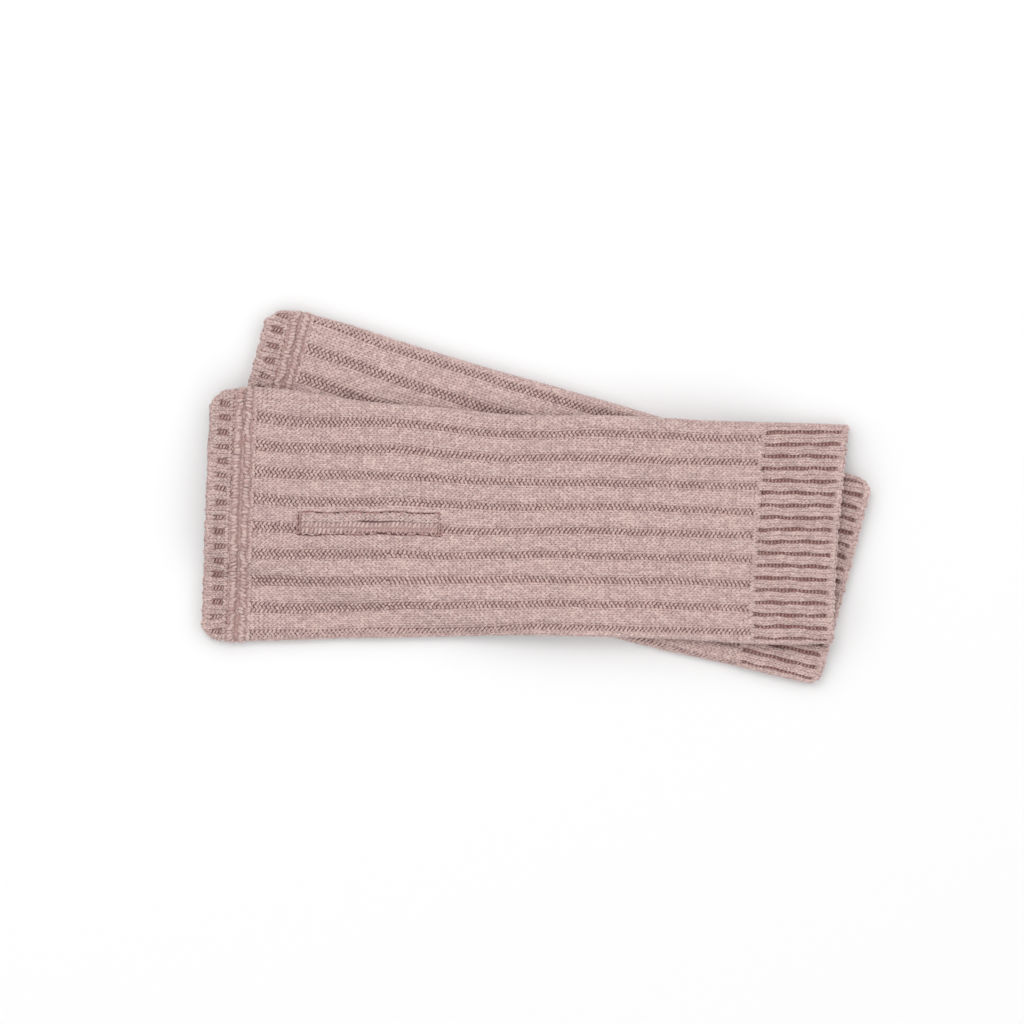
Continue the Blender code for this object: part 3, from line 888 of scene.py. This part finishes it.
def ground_mesh(mitten, name, stations, columns_at):
    """A stretch of the tube's ground, as a flat cut that is pressed into shape and joined at the back."""
    rows = [columns_at(mitten, along) for along in stations]
    mesh, cut, hollow, index = flat_cloth(len(rows[0]) - 1, len(rows) - 1)
    slit_faces = []
    for face in mesh.faces:
        for loop in face.loops:
            column, row = index[loop.vert]
            loop[cut].uv = (rows[row][column] * METRES, stations[row] * METRES)
        column = min(index[vert][0] for vert in face.verts)
        row = min(index[vert][1] for vert in face.verts)
        if in_slit(mitten, stations, rows, column, row):
            slit_faces.append(face)
    for vert, (column, row) in index.items():
        along, around = stations[row], rows[row][column]
        grooves = grooves_at(mitten, along)
        vert.co = surface(mitten, along, around, GROUND_BELOW, grooves) * METRES
        # Painted shade: darker in the grooves, along the seams and at the slit
        vert[hollow] = min(1.0, groove_shade(grooves, around) + seam_shadow(mitten, along, around))
    bmesh.ops.delete(mesh, geom=slit_faces, context="FACES")
    bmesh.ops.remove_doubles(mesh, verts=mesh.verts, dist=1e-6)
    data = mesh_data(mesh, name)
    data.shade_smooth()
    return data


def in_slit(mitten, stations, rows, column, row):
    """Whether a ground face lies in the thumb slit's window."""
    if not SLIT_START <= round(stations[row], 6) < SLIT_END:
        return False
    far, _, near = slit_places(mitten, stations[row])
    middle = (rows[row][column] + rows[row][column + 1]) / 2
    return near < middle < far


def seam_shadow(mitten, along, around):
    """How much painted shade darkens the ground along the linking seams and at the slit's ends."""
    darkest = LINKING_SHADOW if TRIM_END < along < LINKING_END else 0.0
    darkest = max(darkest, *(SEAM_SHADOW - abs(along - seam) for seam in SEAMS))
    if not LINKING_END < along < SLIT_END + SLIT_SHADOW_PAST:
        return darkest
    far, _, near = slit_places(mitten, along)
    if not near - SLIT_SHADOW_ASIDE < around < far + SLIT_SHADOW_ASIDE:
        return darkest
    past = 0.0 if beside_slit(along) else min(abs(along - SLIT_START), abs(along - SLIT_END))
    return max(darkest, SLIT_SHADOW - past / SLIT_SHADOW_FADE)


def add_ground(name, mesh, slot):
    """A piece of ground, with its wall's thickness inwards."""
    piece = add_piece(name, mesh, ground_finish(slot))
    wall = piece.modifiers.new("Wall", "SOLIDIFY")
    wall.thickness = GROUND_WALL * METRES
    wall.offset = -1.0
    return piece


def girth(mitten, along):
    """How wide the flat cut of the tube is."""
    section = section_at(mitten, along)
    return 2 * (section.far + section.near - 2 * FOLD_ROUND + FOLD_ARC)


def declare_cloth(mitten, start, end):
    """Works out how wide and how large a stretch of the tube was before it was laid flat; nothing uses these
    values.
    """
    places, _ = middles(start, end, GIRTH_STEP)
    area = sum(girth(mitten, along) for along in places) / len(places) * (end - start)
    width = max(girth(mitten, along) for along in places)
    width * METRES
    area * METRES**2


def wale_middles(far, near, wales):
    width = (far - near) / wales
    return [far - width * (k + 0.5) for k in range(wales)], width


def end_wales(edge, limit, width):
    """The wales of an end rib, from its groove's edge outwards round the fold."""
    count = int((limit - edge) / width)
    return [edge + width * (k + 0.5) for k in range(count)]


def rib_wales(mitten, along, grooves):
    """The middles and widths of all wales across a section, between these grooves."""
    section = section_at(mitten, along)
    far_limit, near_limit = stitched_reach(section)
    narrow = grooves[0].number != int(grooves[0].number)
    per_rib = WALES // 2 if narrow else WALES
    far_slit, _, near_slit = slit_places(mitten, along)
    slit = beside_slit(along) and not narrow
    found = []
    for one, other in zip(grooves, grooves[1:]):
        far, near, wales = one.middle - one.half, other.middle + other.half, per_rib
        if slit and other.number == SLIT_GROOVE:
            near = max(near, far_slit + FURROW)
        if slit and one.number == SLIT_GROOVE:
            far = min(far, near_slit - FURROW)
        while wales > 1 and (far - near) / wales < LEAST_WALE:
            wales -= 1
        places, width = wale_middles(far, near, wales)
        found += [(place, width) for place in places]
    usual = (grooves[0].middle - grooves[1].middle - grooves[0].half * 2) / per_rib
    found += [(place, usual) for place in end_wales(grooves[0].middle + grooves[0].half, far_limit, usual)]
    near_edge = -(grooves[-1].middle - grooves[-1].half)
    found += [(-place, usual) for place in end_wales(near_edge, near_limit, usual)]
    for groove in grooves:
        in_window = slit and groove.number == SLIT_GROOVE
        if groove.open < HALF_OPEN and not in_window and -near_limit < groove.middle:
            far, near = groove.middle + groove.half, groove.middle - groove.half
            places, width = wale_middles(far, near, 1 if narrow else 2)
            found += [(place, width) for place in places]
    return found


def lay_stitch(yarn, along, around, width, course, grooves=(), leg=LEG_WIDTH, below=0.0):
    """A knit stitch: two legs that meet towards the wrist."""
    knit = bpy.context.scene.mitten_knit
    size = (course * LEG_LENGTH, width * leg, millimetres(knit.yarn))
    for side in (1, -1):
        aside = side * width * leg * LEG_ASIDE
        yarn.lay(along, around + aside, size, -side * knit.slant, below=below + LEG_BELOW, grooves=grooves)


def lay_dash(yarn, share, along, around, course, grooves):
    """A dark grain on the line between two wales, painted with shade for the gap there, a stitch long, for
    this share of the stitches.
    """
    if yarn.random.random() < share:
        size = (course * DASH_LENGTH, DASH_WIDTH, DASH_THICK)
        yarn.lay(along, around, size, 0.0, below=DASH_BELOW, hollow=DASH_PAINTED_SHADE, grooves=grooves)


def lay_edge(yarn, along, reach_at, edge):
    """A chain of stitches that binds an open edge, spread as widely as the stitches reach at a section."""
    places, step = round_tube(yarn.mitten, reach_at, EDGE_MARGIN, EDGE_COURSE)
    size = (abs(step) * LINK_LENGTH, edge.width * LINK_WIDTH, edge.thick)
    for around in seen(yarn.mitten, along, places):
        for side in (1, -1):
            turn = math.radians(90) + side * EDGE_SLANT
            yarn.lay(along + side * edge.width * LINK_ASIDE, around, size, turn, below=LEG_BELOW)


def lay_ridge(yarn, along, lean):
    """A linking ridge: uneven bumps, each of two strands side by side."""
    course = millimetres(bpy.context.scene.mitten_knit.link_course)
    places, _ = round_tube(yarn.mitten, along, RIDGE_MARGIN, course)
    uneven = yarn.random.uniform
    for place in seen(yarn.mitten, along, places):
        around = place + yarn.astray(BUMP_AROUND)
        shift = yarn.astray(BUMP_ALONG)
        slant = lean * math.radians(uneven(*BUMP_SLANTS))
        for side in (1, -1):
            size = (uneven(*STRAND_LENGTHS), uneven(*STRAND_WIDTHS), STRAND_THICK)
            turn = slant + math.radians(yarn.astray(STRAND_TURN))
            # Some strands get painted shade, as dark specks between the bumps
            hollow = max(0.0, uneven(*STRAND_PAINTED_SHADES))
            ahead = along + shift + yarn.astray(STRAND_AHEAD)
            yarn.lay(ahead, around + side * STRAND_ASIDE, size, turn, below=RIDGE_BELOW, hollow=hollow)


def lay_seam(yarn, along):
    """The small slanted stitches that fill the furrow beside a linking ridge, some of them darkened with
    painted shade.
    """
    places, _ = round_tube(yarn.mitten, along, RIDGE_MARGIN, SEAM_COURSE)
    for around in seen(yarn.mitten, along, places):
        if yarn.random.random() < SEAM_FILLED:
            slant = math.radians(yarn.random.uniform(*RIDGE_SEAM.slants)) * yarn.random.choice((1, -1))
            hollow = max(0.0, yarn.random.uniform(*RIDGE_SEAM.hollows))
            yarn.lay_seam(along, around, RIDGE_SEAM, slant, hollow)


def knit_narrow_rib(yarn, start, end, course, bar_course, bars):
    """The stitches of the cuff or the trim: legs in the ribs, short bars in the grooves."""
    mitten = yarn.mitten
    places, step = middles(start, end, course)
    for along in places:
        grooves = grooves_at(mitten, along)
        for around, width in rib_wales(mitten, along, grooves):
            if not hidden(mitten, along, around):
                lay_stitch(yarn, along, around, width, step, grooves, leg=NARROW_LEG_WIDTH)
                lay_dash(yarn, NARROW_DASH_SHARE, along, around + width / 2, step, grooves)
    places, _ = middles(start, end, bar_course)
    for count, along in enumerate(places):
        slant = math.radians(bars.slants[count % len(bars.slants)])
        for groove in grooves_at(mitten, along):
            if groove.open >= HALF_OPEN and not hidden(mitten, along, groove.middle):
                # Painted shade on the bars, uneven from bar to bar
                hollow = max(0.0, bars.hollow + yarn.astray(UNEVEN_PAINTED_SHADE))
                yarn.lay(along, groove.middle, bars.size, slant, -NARROW_BAR_ABOVE, hollow, (groove,))


def build_finger_bands():
    """The finger trim and the linking ridges of both mittens."""
    course = millimetres(bpy.context.scene.mitten_knit.trim_course)
    for seed, mitten in enumerate(MITTENS):
        trim = Yarn(mitten, seed)
        knit_narrow_rib(trim, TRIM_MARGIN, TRIM_END, course, TRIM_BAR_COURSE, TRIM_BARS)
        lay_edge(trim, FINGER_EDGE.inset, FINGER_EDGE.reach_at, FINGER_EDGE)
        links = Yarn(mitten, 10 + seed, LINKING_SHADES)
        for seam in SEAMS:
            lay_seam(links, seam)
        for ridge, lean in zip(RIDGES, (1, -1)):
            lay_ridge(links, ridge, lean)
        stitches = [trim.join("finger_trim_stitches", "trim_knit")]
        stitches.append(links.join("linking_stitches", "linking_knit"))
        name = f"{mitten.name}_finger_band_ground"
        mesh = ground_mesh(mitten, name, spread(0.0, LINKING_END, BAND_STEP), band_columns)
        band = add_ground(name, mesh, "trim_knit")
        sides = ("front", "back")
        parts = [f"{mitten.name}_{part}_{side}" for part in ("finger_trim", "linking") for side in sides]
        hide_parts(*parts)
        declare_cloth(mitten, 0.0, LINKING_END)


def band_columns(mitten, along):
    """The trim's columns, kept on through the linking ridges."""
    return ground_columns(mitten, min(along, TRIM_END - 0.1))


def build_hands():
    """The wide-rib hands."""
    course = millimetres(bpy.context.scene.mitten_knit.course)
    slit = (SLIT_START, SLIT_END)
    for seed, mitten in enumerate(MITTENS):
        start, end = LINKING_END, mitten.length - CUFF_LENGTH
        stitches = knit_hand(mitten, start, end, course, seed)
        stations = ground_rows(start, end, HAND_FIRST_ROWS, HAND_LAST_ROWS, HAND_STEP, slit)
        name = f"{mitten.name}_hand_ground"
        ground = add_ground(name, ground_mesh(mitten, name, stations, ground_columns), "hand_knit")
        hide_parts(f"{mitten.name}_hand_front", f"{mitten.name}_hand_back")
        declare_cloth(mitten, start, end)


def knit_hand(mitten, start, end, course, seed):
    """A hand's stitches, in a far and a near half, and the bars in its grooves."""
    halves = {"far": Yarn(mitten, 20 + seed), "near": Yarn(mitten, 30 + seed)}
    bars = Yarn(mitten, 40 + seed)
    places, step = middles(start - SEAM_LAP, end + SEAM_LAP / 2, course)
    for along in places:
        grooves = hand_grooves(mitten, along)
        split = grooves[SLIT_GROOVE - 1].middle
        for around, width in rib_wales(mitten, along, grooves):
            if not hidden(mitten, along, around):
                half = halves["far" if around > split else "near"]
                place = strayed(along, around, start, end)
                lay_stitch(half, place, around, width, step, grooves)
                lay_dash(half, DASH_SHARE, place, around + width / 2, step, grooves)
        lay_bars(bars, along, step, grooves)
    pieces = [yarn.join(f"hand_stitches_{side}", "hand_knit") for side, yarn in halves.items()]
    return [*pieces, bars.join("groove_bars", "hand_knit")]


def lay_bars(yarn, along, step, grooves):
    """One course of the grooves: slanted bars, end to end across each groove, three where it is wide."""
    for groove in grooves:
        in_window = groove.number == SLIT_GROOVE and beside_slit(along)
        if groove.open < HALF_OPEN or in_window or hidden(yarn.mitten, along, groove.middle):
            continue
        far_lean, near_lean = BAR_LEANS[groove.number - 1]
        if groove.half > THREE_ROWS_HALF:
            outer, length, width = THREE_ROWS
            bars = ((outer, far_lean, 1), (0.0, -far_lean, -1), (-outer, far_lean, 1))
        else:
            outer, length, width = TWO_ROWS
            bars = ((outer, far_lean, 1), (-outer, near_lean, -1))
        size = (groove.half * length, step * width, BAR_THICK)
        for share, lean, shift in bars:
            ahead = along + shift * step / 4
            around = groove.middle + share * groove.half
            slant = math.radians(90 - BAR_LEAN * lean)
            yarn.lay(ahead, around, size, slant, below=-BAR_ABOVE, grooves=grooves)


def build_welts():
    """The two welts that close each thumb slit."""
    for seed, mitten in enumerate(MITTENS):
        for side in ("far", "near"):
            name = f"{mitten.name}_thumb_welt_{side}"
            ground = add_ground(f"{name}_ground", welt_mesh(mitten, f"{name}_ground", side), "welt_knit")
            yarn = Yarn(mitten, 50 + seed)
            knit_welt(yarn, side)
            if yarn.places:
                yarn.join(f"thumb_welt_{side}_stitches", "welt_knit")
            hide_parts(name)


def welt_edges(mitten, side, along):
    """Where a welt's far and near edges lie across a section."""
    far, meet, near = slit_places(mitten, along)
    half = GAPE / 2 * gape_share(along)
    if side == "far":
        return far - FURROW, meet + half
    return meet - half, near + FURROW


def welt_mesh(mitten, name, side):
    """A welt's ground: a strip with round long edges, from the slit's side to where the welts meet."""
    stations = spread(SLIT_START + WELT_INSET, SLIT_END - WELT_INSET, WELT_STEP)
    last = len(WELT_SHARES) - 1
    lip = last if side == "far" else 0
    mesh, cut, hollow, index = flat_cloth(last, len(stations) - 1)
    for vert, (column, row) in index.items():
        along = stations[row]
        far, near = welt_edges(mitten, side, along)
        around = far + (near - far) * WELT_SHARES[column]
        drop = WELT_DROPS[column]
        gape = gape_share(along)
        if (WELT_SHARES[column] > 0.5) == (side == "far"):
            drop *= CLOSED_DROP + (1.0 - CLOSED_DROP) * gape
        slit_far, meet, slit_near = slit_places(mitten, along)
        # Painted shade: some over the whole welt, more at an open lip, where the slit gapes, and at the outer
        # edge
        shadow = WELT_SHADOW
        if column == lip:
            around = meet
            shadow += LIP_SHADOW * gape
        elif column == last - lip:
            around = slit_far if side == "far" else slit_near
            shadow += OUTER_SHADOW
        for loop in vert.link_loops:
            loop[cut].uv = (around * METRES, along * METRES)
        vert[hollow] = shadow
        vert.co = surface(mitten, along, around, WELT_BELOW + GROUND_BELOW + drop) * METRES
    data = mesh_data(mesh, name)
    data.shade_smooth()
    return data


def knit_welt(yarn, side):
    """A welt's stitches: plain legs on the one that lies smooth, slanted bars on the other."""
    mitten = yarn.mitten
    course = millimetres(bpy.context.scene.mitten_knit.course)
    places, step = middles(SLIT_START + SLIT_END_COLUMN, SLIT_END - SLIT_END_COLUMN, course)
    smooth_side = "far" if mitten is UPPER else "near"
    for along in places:
        far, near = welt_edges(mitten, side, along)
        if hidden(mitten, along, (far + near) / 2):
            continue
        rows, width = wale_middles(far, near, 2)
        for number, around in enumerate(rows):
            outer = number == (1 if smooth_side == "far" else 0)
            if side == smooth_side:
                lay_stitch(yarn, along, around, width, step, below=WELT_BELOW)
            else:
                bar = SUNKEN_BAR if outer and along >= GAPE_START else RAISED_BAR
                size = (width * bar.length, bar.width, bar.thick)
                slant = math.radians(WELT_BAR_SLANT)
                yarn.lay(along, around, size, slant, below=WELT_BELOW + bar.below, hollow=bar.hollow)
    lay_welt_seam(yarn, side)


def lay_welt_seam(yarn, side):
    """The uneven seam along a welt's outer side and at its two ends, its grains darkened with painted shade.
    """
    uneven = yarn.random.uniform
    for along in middles(SLIT_START, SLIT_END, SEAM_COURSE)[0]:
        far, near = welt_edges(yarn.mitten, side, along)
        around = far if side == "far" else near
        slant, hollow = math.radians(uneven(*WELT_SIDE_SEAM.slants)), uneven(*WELT_SIDE_SEAM.hollows)
        if not hidden(yarn.mitten, along, around) and uneven(0.0, 1.0) < WELT_SEAM_FILLED:
            yarn.lay_seam(along, around, WELT_SIDE_SEAM, slant, hollow)
    ends = [SLIT_START + inset for inset in WELT_END_SEAMS]
    ends += [SLIT_END - inset for inset in reversed(WELT_END_SEAMS)]
    for along in ends:
        far, near = welt_edges(yarn.mitten, side, along)
        for around in middles(far, near, SEAM_COURSE)[0]:
            slant, hollow = math.radians(uneven(*WELT_END_SEAM.slants)), uneven(*WELT_END_SEAM.hollows)
            if not hidden(yarn.mitten, along, around):
                yarn.lay_seam(along, around, WELT_END_SEAM, slant, hollow)


def build_cuffs():
    """The narrow-rib cuffs and their cast-on edges."""
    course = millimetres(bpy.context.scene.mitten_knit.cuff_course)
    for seed, mitten in enumerate(MITTENS):
        start, end = mitten.length - CUFF_LENGTH, mitten.length
        yarn = Yarn(mitten, 60 + seed)
        knit_narrow_rib(yarn, start, end - CUFF_MARGIN, course, course, CUFF_BARS)
        lay_edge(yarn, end - WRIST_EDGE.inset, end - WRIST_EDGE.reach_at, WRIST_EDGE)
        piece = yarn.join("cuff_stitches", "cuff_knit")
        stations = ground_rows(start, end, CUFF_FIRST_ROWS, CUFF_LAST_ROWS, CUFF_STEP)
        name = f"{mitten.name}_cuff_ground"
        ground = add_ground(name, ground_mesh(mitten, name, stations, ground_columns), "cuff_knit")
        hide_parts(f"{mitten.name}_wrist_front", f"{mitten.name}_wrist_back")
        declare_cloth(mitten, start, end)


class Value:
    """A number that varies over a surface. Python's operators on it add Math nodes."""

    def __init__(self, shading, socket):
        self.shading = shading
        self.socket = socket

    def math(self, operation, *values, clamp=False):
        settings = {"operation": operation, "use_clamp": clamp}
        made = self.shading.node("ShaderNodeMath", settings, dict(enumerate(values)))
        return Value(self.shading, made.outputs[0])

    def __add__(self, other):
        return self.math("ADD", self, other)

    def __sub__(self, other):
        return self.math("SUBTRACT", self, other)

    def __rsub__(self, other):
        return self.math("SUBTRACT", other, self)

    def __mul__(self, other):
        return self.math("MULTIPLY", self, other)

    __radd__ = __add__
    __rmul__ = __mul__

    def clamped(self):
        return self.math("ADD", self, 0.0, clamp=True)

    def fraction(self):
        return self.math("FRACT", self)

    def size(self):
        return self.math("ABSOLUTE", self)


class Shading:
    """The nodes of a material or of the world, which are added by one method."""

    def __init__(self, owner, shader="Principled BSDF"):
        self.owner = owner
        self.owner.use_nodes = True
        self.tree = self.owner.node_tree
        self.shader = self.tree.nodes[shader]

    def node(self, kind, settings=None, sockets=None):
        made = self.tree.nodes.new(kind)
        for name, value in (settings or {}).items():
            setattr(made, name, value)
        for key, value in (sockets or {}).items():
            self.feed(made.inputs[key], value)
        return made

    def feed(self, socket, value):
        value = value.socket if isinstance(value, Value) else value
        if isinstance(value, bpy.types.NodeSocket):
            self.tree.links.new(value, socket)
        else:
            socket.default_value = value

    def attribute(self, name):
        return Value(self, self.node("ShaderNodeAttribute", {"attribute_name": name}).outputs["Fac"])

    def noise(self, place, scale, detail=2.0):
        sockets = {"Vector": place, "Scale": scale, "Detail": detail}
        return Value(self, self.node("ShaderNodeTexNoise", None, sockets).outputs["Fac"])

    def mix(self, amount, one, other):
        """A colour between two colours."""
        sockets = {"Factor": amount, 6: one, 7: other}
        return self.node("ShaderNodeMix", {"data_type": "RGBA"}, sockets).outputs[2]

    def finish(self, constants, relief=None, **varying):
        """The finished owner: its constants, the sockets of its bump, and what varies over it."""
        for name, value in constants.items():
            self.shader.inputs[name].default_value = value
        if relief:
            varying["Normal"] = self.node("ShaderNodeBump", None, relief).outputs["Normal"]
        for name, value in varying.items():
            self.feed(self.shader.inputs[name.replace("_", " ")], value)
        return self.owner


def painted_shade_colour():
    """The colour of the painted shade deep between stitches, reddish where light comes back from yarn all
    round.
    """
    return (*bpy.context.scene.mitten_knit.shadow_colour, 1.0)


def toned(colour, share):
    """A colour made darker or lighter."""
    return (*(channel * share for channel in colour[:3]), 1.0)


def heathered(shading, place, slot, shade):
    """The yarn's colour, with its flecks and patches, before the painted shade between stitches."""
    knit = bpy.context.scene.mitten_knit
    colour = toned(knit.yarn_colour, TONES[slot])
    contrast = FLECK_CONTRAST * knit.heather
    fibre = shading.noise(place, FIBRE_SCALE)
    fleck = shading.noise(place, FLECK_SCALE)
    patch = shading.noise(place, PATCH_SCALE)
    amount = (shade * 0.8 + fibre * 0.9 - 0.35).clamped()
    base = shading.mix(amount, toned(colour, 1.0 - contrast), toned(colour, 1.0 + contrast))
    greener = ((fleck * 2.0 + shade * 0.5 - 1.3) * 3.0).clamped() * knit.heather
    base = shading.mix(greener, base, (*knit.green_fleck, 1.0))
    purpler = ((0.6 - fleck - shade * 0.4) * 3.0).clamped() * (MAUVE_SHARE * knit.heather)
    base = shading.mix(purpler, base, (*knit.mauve_fleck, 1.0))
    deeper = ((patch - 0.5) * 4.0).clamped() * (PATCH_SHARE * knit.heather)
    return shading.mix(deeper, base, toned(colour, PATCH_TONE))


def yarn_finish(slot):
    """The yarn of the stitches."""
    name = f"{slot}_yarn"
    if name in bpy.data.materials:
        return bpy.data.materials[name]
    shading = Shading(bpy.data.materials.new(name))
    place = shading.node("ShaderNodeTexCoord").outputs["Object"]
    base = heathered(shading, place, slot, shading.attribute("shade"))
    # Painted shade: the yarn's colour goes towards the shade colour as far as each grain's painted shade says
    colour = shading.mix(shading.attribute("hollow"), base, painted_shade_colour())
    fuzz = shading.noise(place, FUZZ_SCALE, 3.0)
    relief = {"Strength": 0.7, "Distance": 0.00012, "Height": fuzz}
    constants = {"Sheen Weight": 0.35, "Sheen Roughness": 0.5, "Specular IOR Level": 0.15}
    return shading.finish(constants, relief, Base_Color=colour, Roughness=fuzz * 0.15 + 0.82)


def ground_finish(slot):
    """The cloth beneath the stitches, and the plain underside, with its own knit in the bump and, as painted
    shade, in its colour.
    """
    name = f"{slot}_ground"
    if name in bpy.data.materials:
        return bpy.data.materials[name]
    shading = Shading(bpy.data.materials.new(name))
    place = shading.node("ShaderNodeTexCoord").outputs["Object"]
    cut = shading.node("ShaderNodeUVMap", {"uv_map": "cut"}).outputs["UV"]
    parts = shading.node("ShaderNodeSeparateXYZ", None, {"Vector": cut})
    around, along = (Value(shading, parts.outputs[axis]) for axis in ("X", "Y"))
    wale = ((around * (1.0 / GROUND_WALE)).fraction() - 0.5).size() * 2.0
    course = ((along * (1.0 / GROUND_COURSE) + wale * 0.5).fraction() - 0.5).size() * 2.0
    stitch = (1.0 - wale * wale * wale) * (1.0 - course * course)
    # The ground's own stitches also make its colour darker between them: painted shade
    base = heathered(shading, place, slot, stitch)
    # Painted shade: a little everywhere, and more as far as each point's painted shade says
    colour = shading.mix((shading.attribute("hollow") * 0.9 + 0.06).clamped(), base, painted_shade_colour())
    fuzz = shading.noise(place, FUZZ_SCALE, 3.0)
    relief = {"Strength": 0.9, "Distance": 0.0004, "Height": stitch + fuzz * 0.2}
    constants = {"Sheen Weight": 0.2, "Sheen Roughness": 0.5, "Specular IOR Level": 0.1}
    return shading.finish(constants, relief, Base_Color=colour, Roughness=fuzz * 0.1 + 0.86)


def build_stage():
    """The pale floor, the soft lights and the camera straight above."""
    stage = bpy.context.scene.mitten_stage
    mesh = bmesh.new()
    bmesh.ops.create_grid(mesh, x_segments=1, y_segments=1, size=FLOOR_HALF)
    data = mesh_data(mesh, "floor")
    floor = bpy.data.objects.new("floor", data)
    bpy.context.scene.collection.objects.link(floor)
    shading = Shading(bpy.data.materials.new("pale_floor"))
    data.materials.append(shading.finish({"Base Color": (*stage.floor_colour, 1.0), "Roughness": 0.9}))

    light_all_round(stage.fill)
    lamp = bpy.data.lights.new("key", "AREA")
    lamp.shape = "DISK"
    lamp.size = KEY_SIZE
    lamp.energy = stage.key_power
    key = bpy.data.objects.new("key", lamp)
    key.location = KEY_PLACE
    key.rotation_euler = (-key.location).to_track_quat("-Z", "Y").to_euler()
    bpy.context.scene.collection.objects.link(key)

    add_camera(stage.camera_height)
    bpy.context.scene.view_settings.view_transform = "Standard"


def light_all_round(fill):
    """White light from every side, strongest from about halfway up, as in a light tent."""
    sky = Shading(bpy.data.worlds.new("studio"), "Background")
    bpy.context.scene.world = sky.owner
    way = sky.node("ShaderNodeTexCoord").outputs["Generated"]
    height = Value(sky, sky.node("ShaderNodeSeparateXYZ", None, {"Vector": way}).outputs["Z"])
    started = ((height - SKY_START) * SKY_STEEPNESS).clamped()
    strength = started * (1.0 - height) * SKY_MORE + SKY_LEAST
    sky.finish({"Color": (1.0, 1.0, 1.0, 1.0)}, Strength=strength * fill)


def add_camera(height):
    """A long-lens camera that looks straight down."""
    lens = bpy.data.cameras.new("camera")
    lens.sensor_width = 36.0
    lens.lens = lens.sensor_width * (height - FRAME_LEVEL * METRES) / (FRAME_WIDTH * METRES)
    camera = bpy.data.objects.new("camera", lens)
    camera.location = (FRAME_MIDDLE[0] * METRES, FRAME_MIDDLE[1] * METRES, height)
    bpy.context.scene.collection.objects.link(camera)
    bpy.context.scene.camera = camera


class MITTENS_OT_finger_bands(bpy.types.Operator):
    """Knit the finger trims and the linking ridges of both mittens"""

    bl_idname = "mittens.finger_bands"
    bl_label = "Knit finger bands"

    def execute(self, context):
        build_finger_bands()
        return {"FINISHED"}


class MITTENS_OT_hands(bpy.types.Operator):
    """Knit the wide-rib hands of both mittens"""

    bl_idname = "mittens.hands"
    bl_label = "Knit hands"

    def execute(self, context):
        build_hands()
        return {"FINISHED"}


class MITTENS_OT_welts(bpy.types.Operator):
    """Knit the welts that close the thumb slits"""

    bl_idname = "mittens.welts"
    bl_label = "Knit thumb welts"

    def execute(self, context):
        build_welts()
        return {"FINISHED"}


class MITTENS_OT_cuffs(bpy.types.Operator):
    """Knit the narrow-rib cuffs of both mittens"""

    bl_idname = "mittens.cuffs"
    bl_label = "Knit cuffs"

    def execute(self, context):
        build_cuffs()
        return {"FINISHED"}


class MITTENS_OT_stage(bpy.types.Operator):
    """Add the floor, the lights and the camera"""

    bl_idname = "mittens.stage"
    bl_label = "Set the stage"

    def execute(self, context):
        build_stage()
        return {"FINISHED"}


OPERATORS = (MITTENS_OT_finger_bands, MITTENS_OT_hands, MITTENS_OT_welts, MITTENS_OT_cuffs, MITTENS_OT_stage)


class MITTENS_PT_panel(bpy.types.Panel):
    """The steps that make the mittens."""

    bl_label = "Mittens"
    bl_idname = "MITTENS_PT_panel"
    bl_space_type = "VIEW_3D"
    bl_region_type = "UI"
    bl_category = "Mittens"

    def draw(self, context):
        for step in OPERATORS:
            self.layout.operator(step.bl_idname)


CLASSES = (KnitSettings, StageSettings, *OPERATORS, MITTENS_PT_panel)


def register():
    for cls in CLASSES:
        bpy.utils.register_class(cls)
    bpy.types.Scene.mitten_knit = PointerProperty(type=KnitSettings)
    bpy.types.Scene.mitten_stage = PointerProperty(type=StageSettings)


def unregister():
    del bpy.types.Scene.mitten_stage
    del bpy.types.Scene.mitten_knit
    for cls in reversed(CLASSES):
        bpy.utils.unregister_class(cls)


def main():
    register()
    bpy.ops.mittens.finger_bands()
    bpy.ops.mittens.hands()
    bpy.ops.mittens.welts()
    bpy.ops.mittens.cuffs()
    bpy.ops.mittens.stage()


if __name__ == "__main__":
    main()
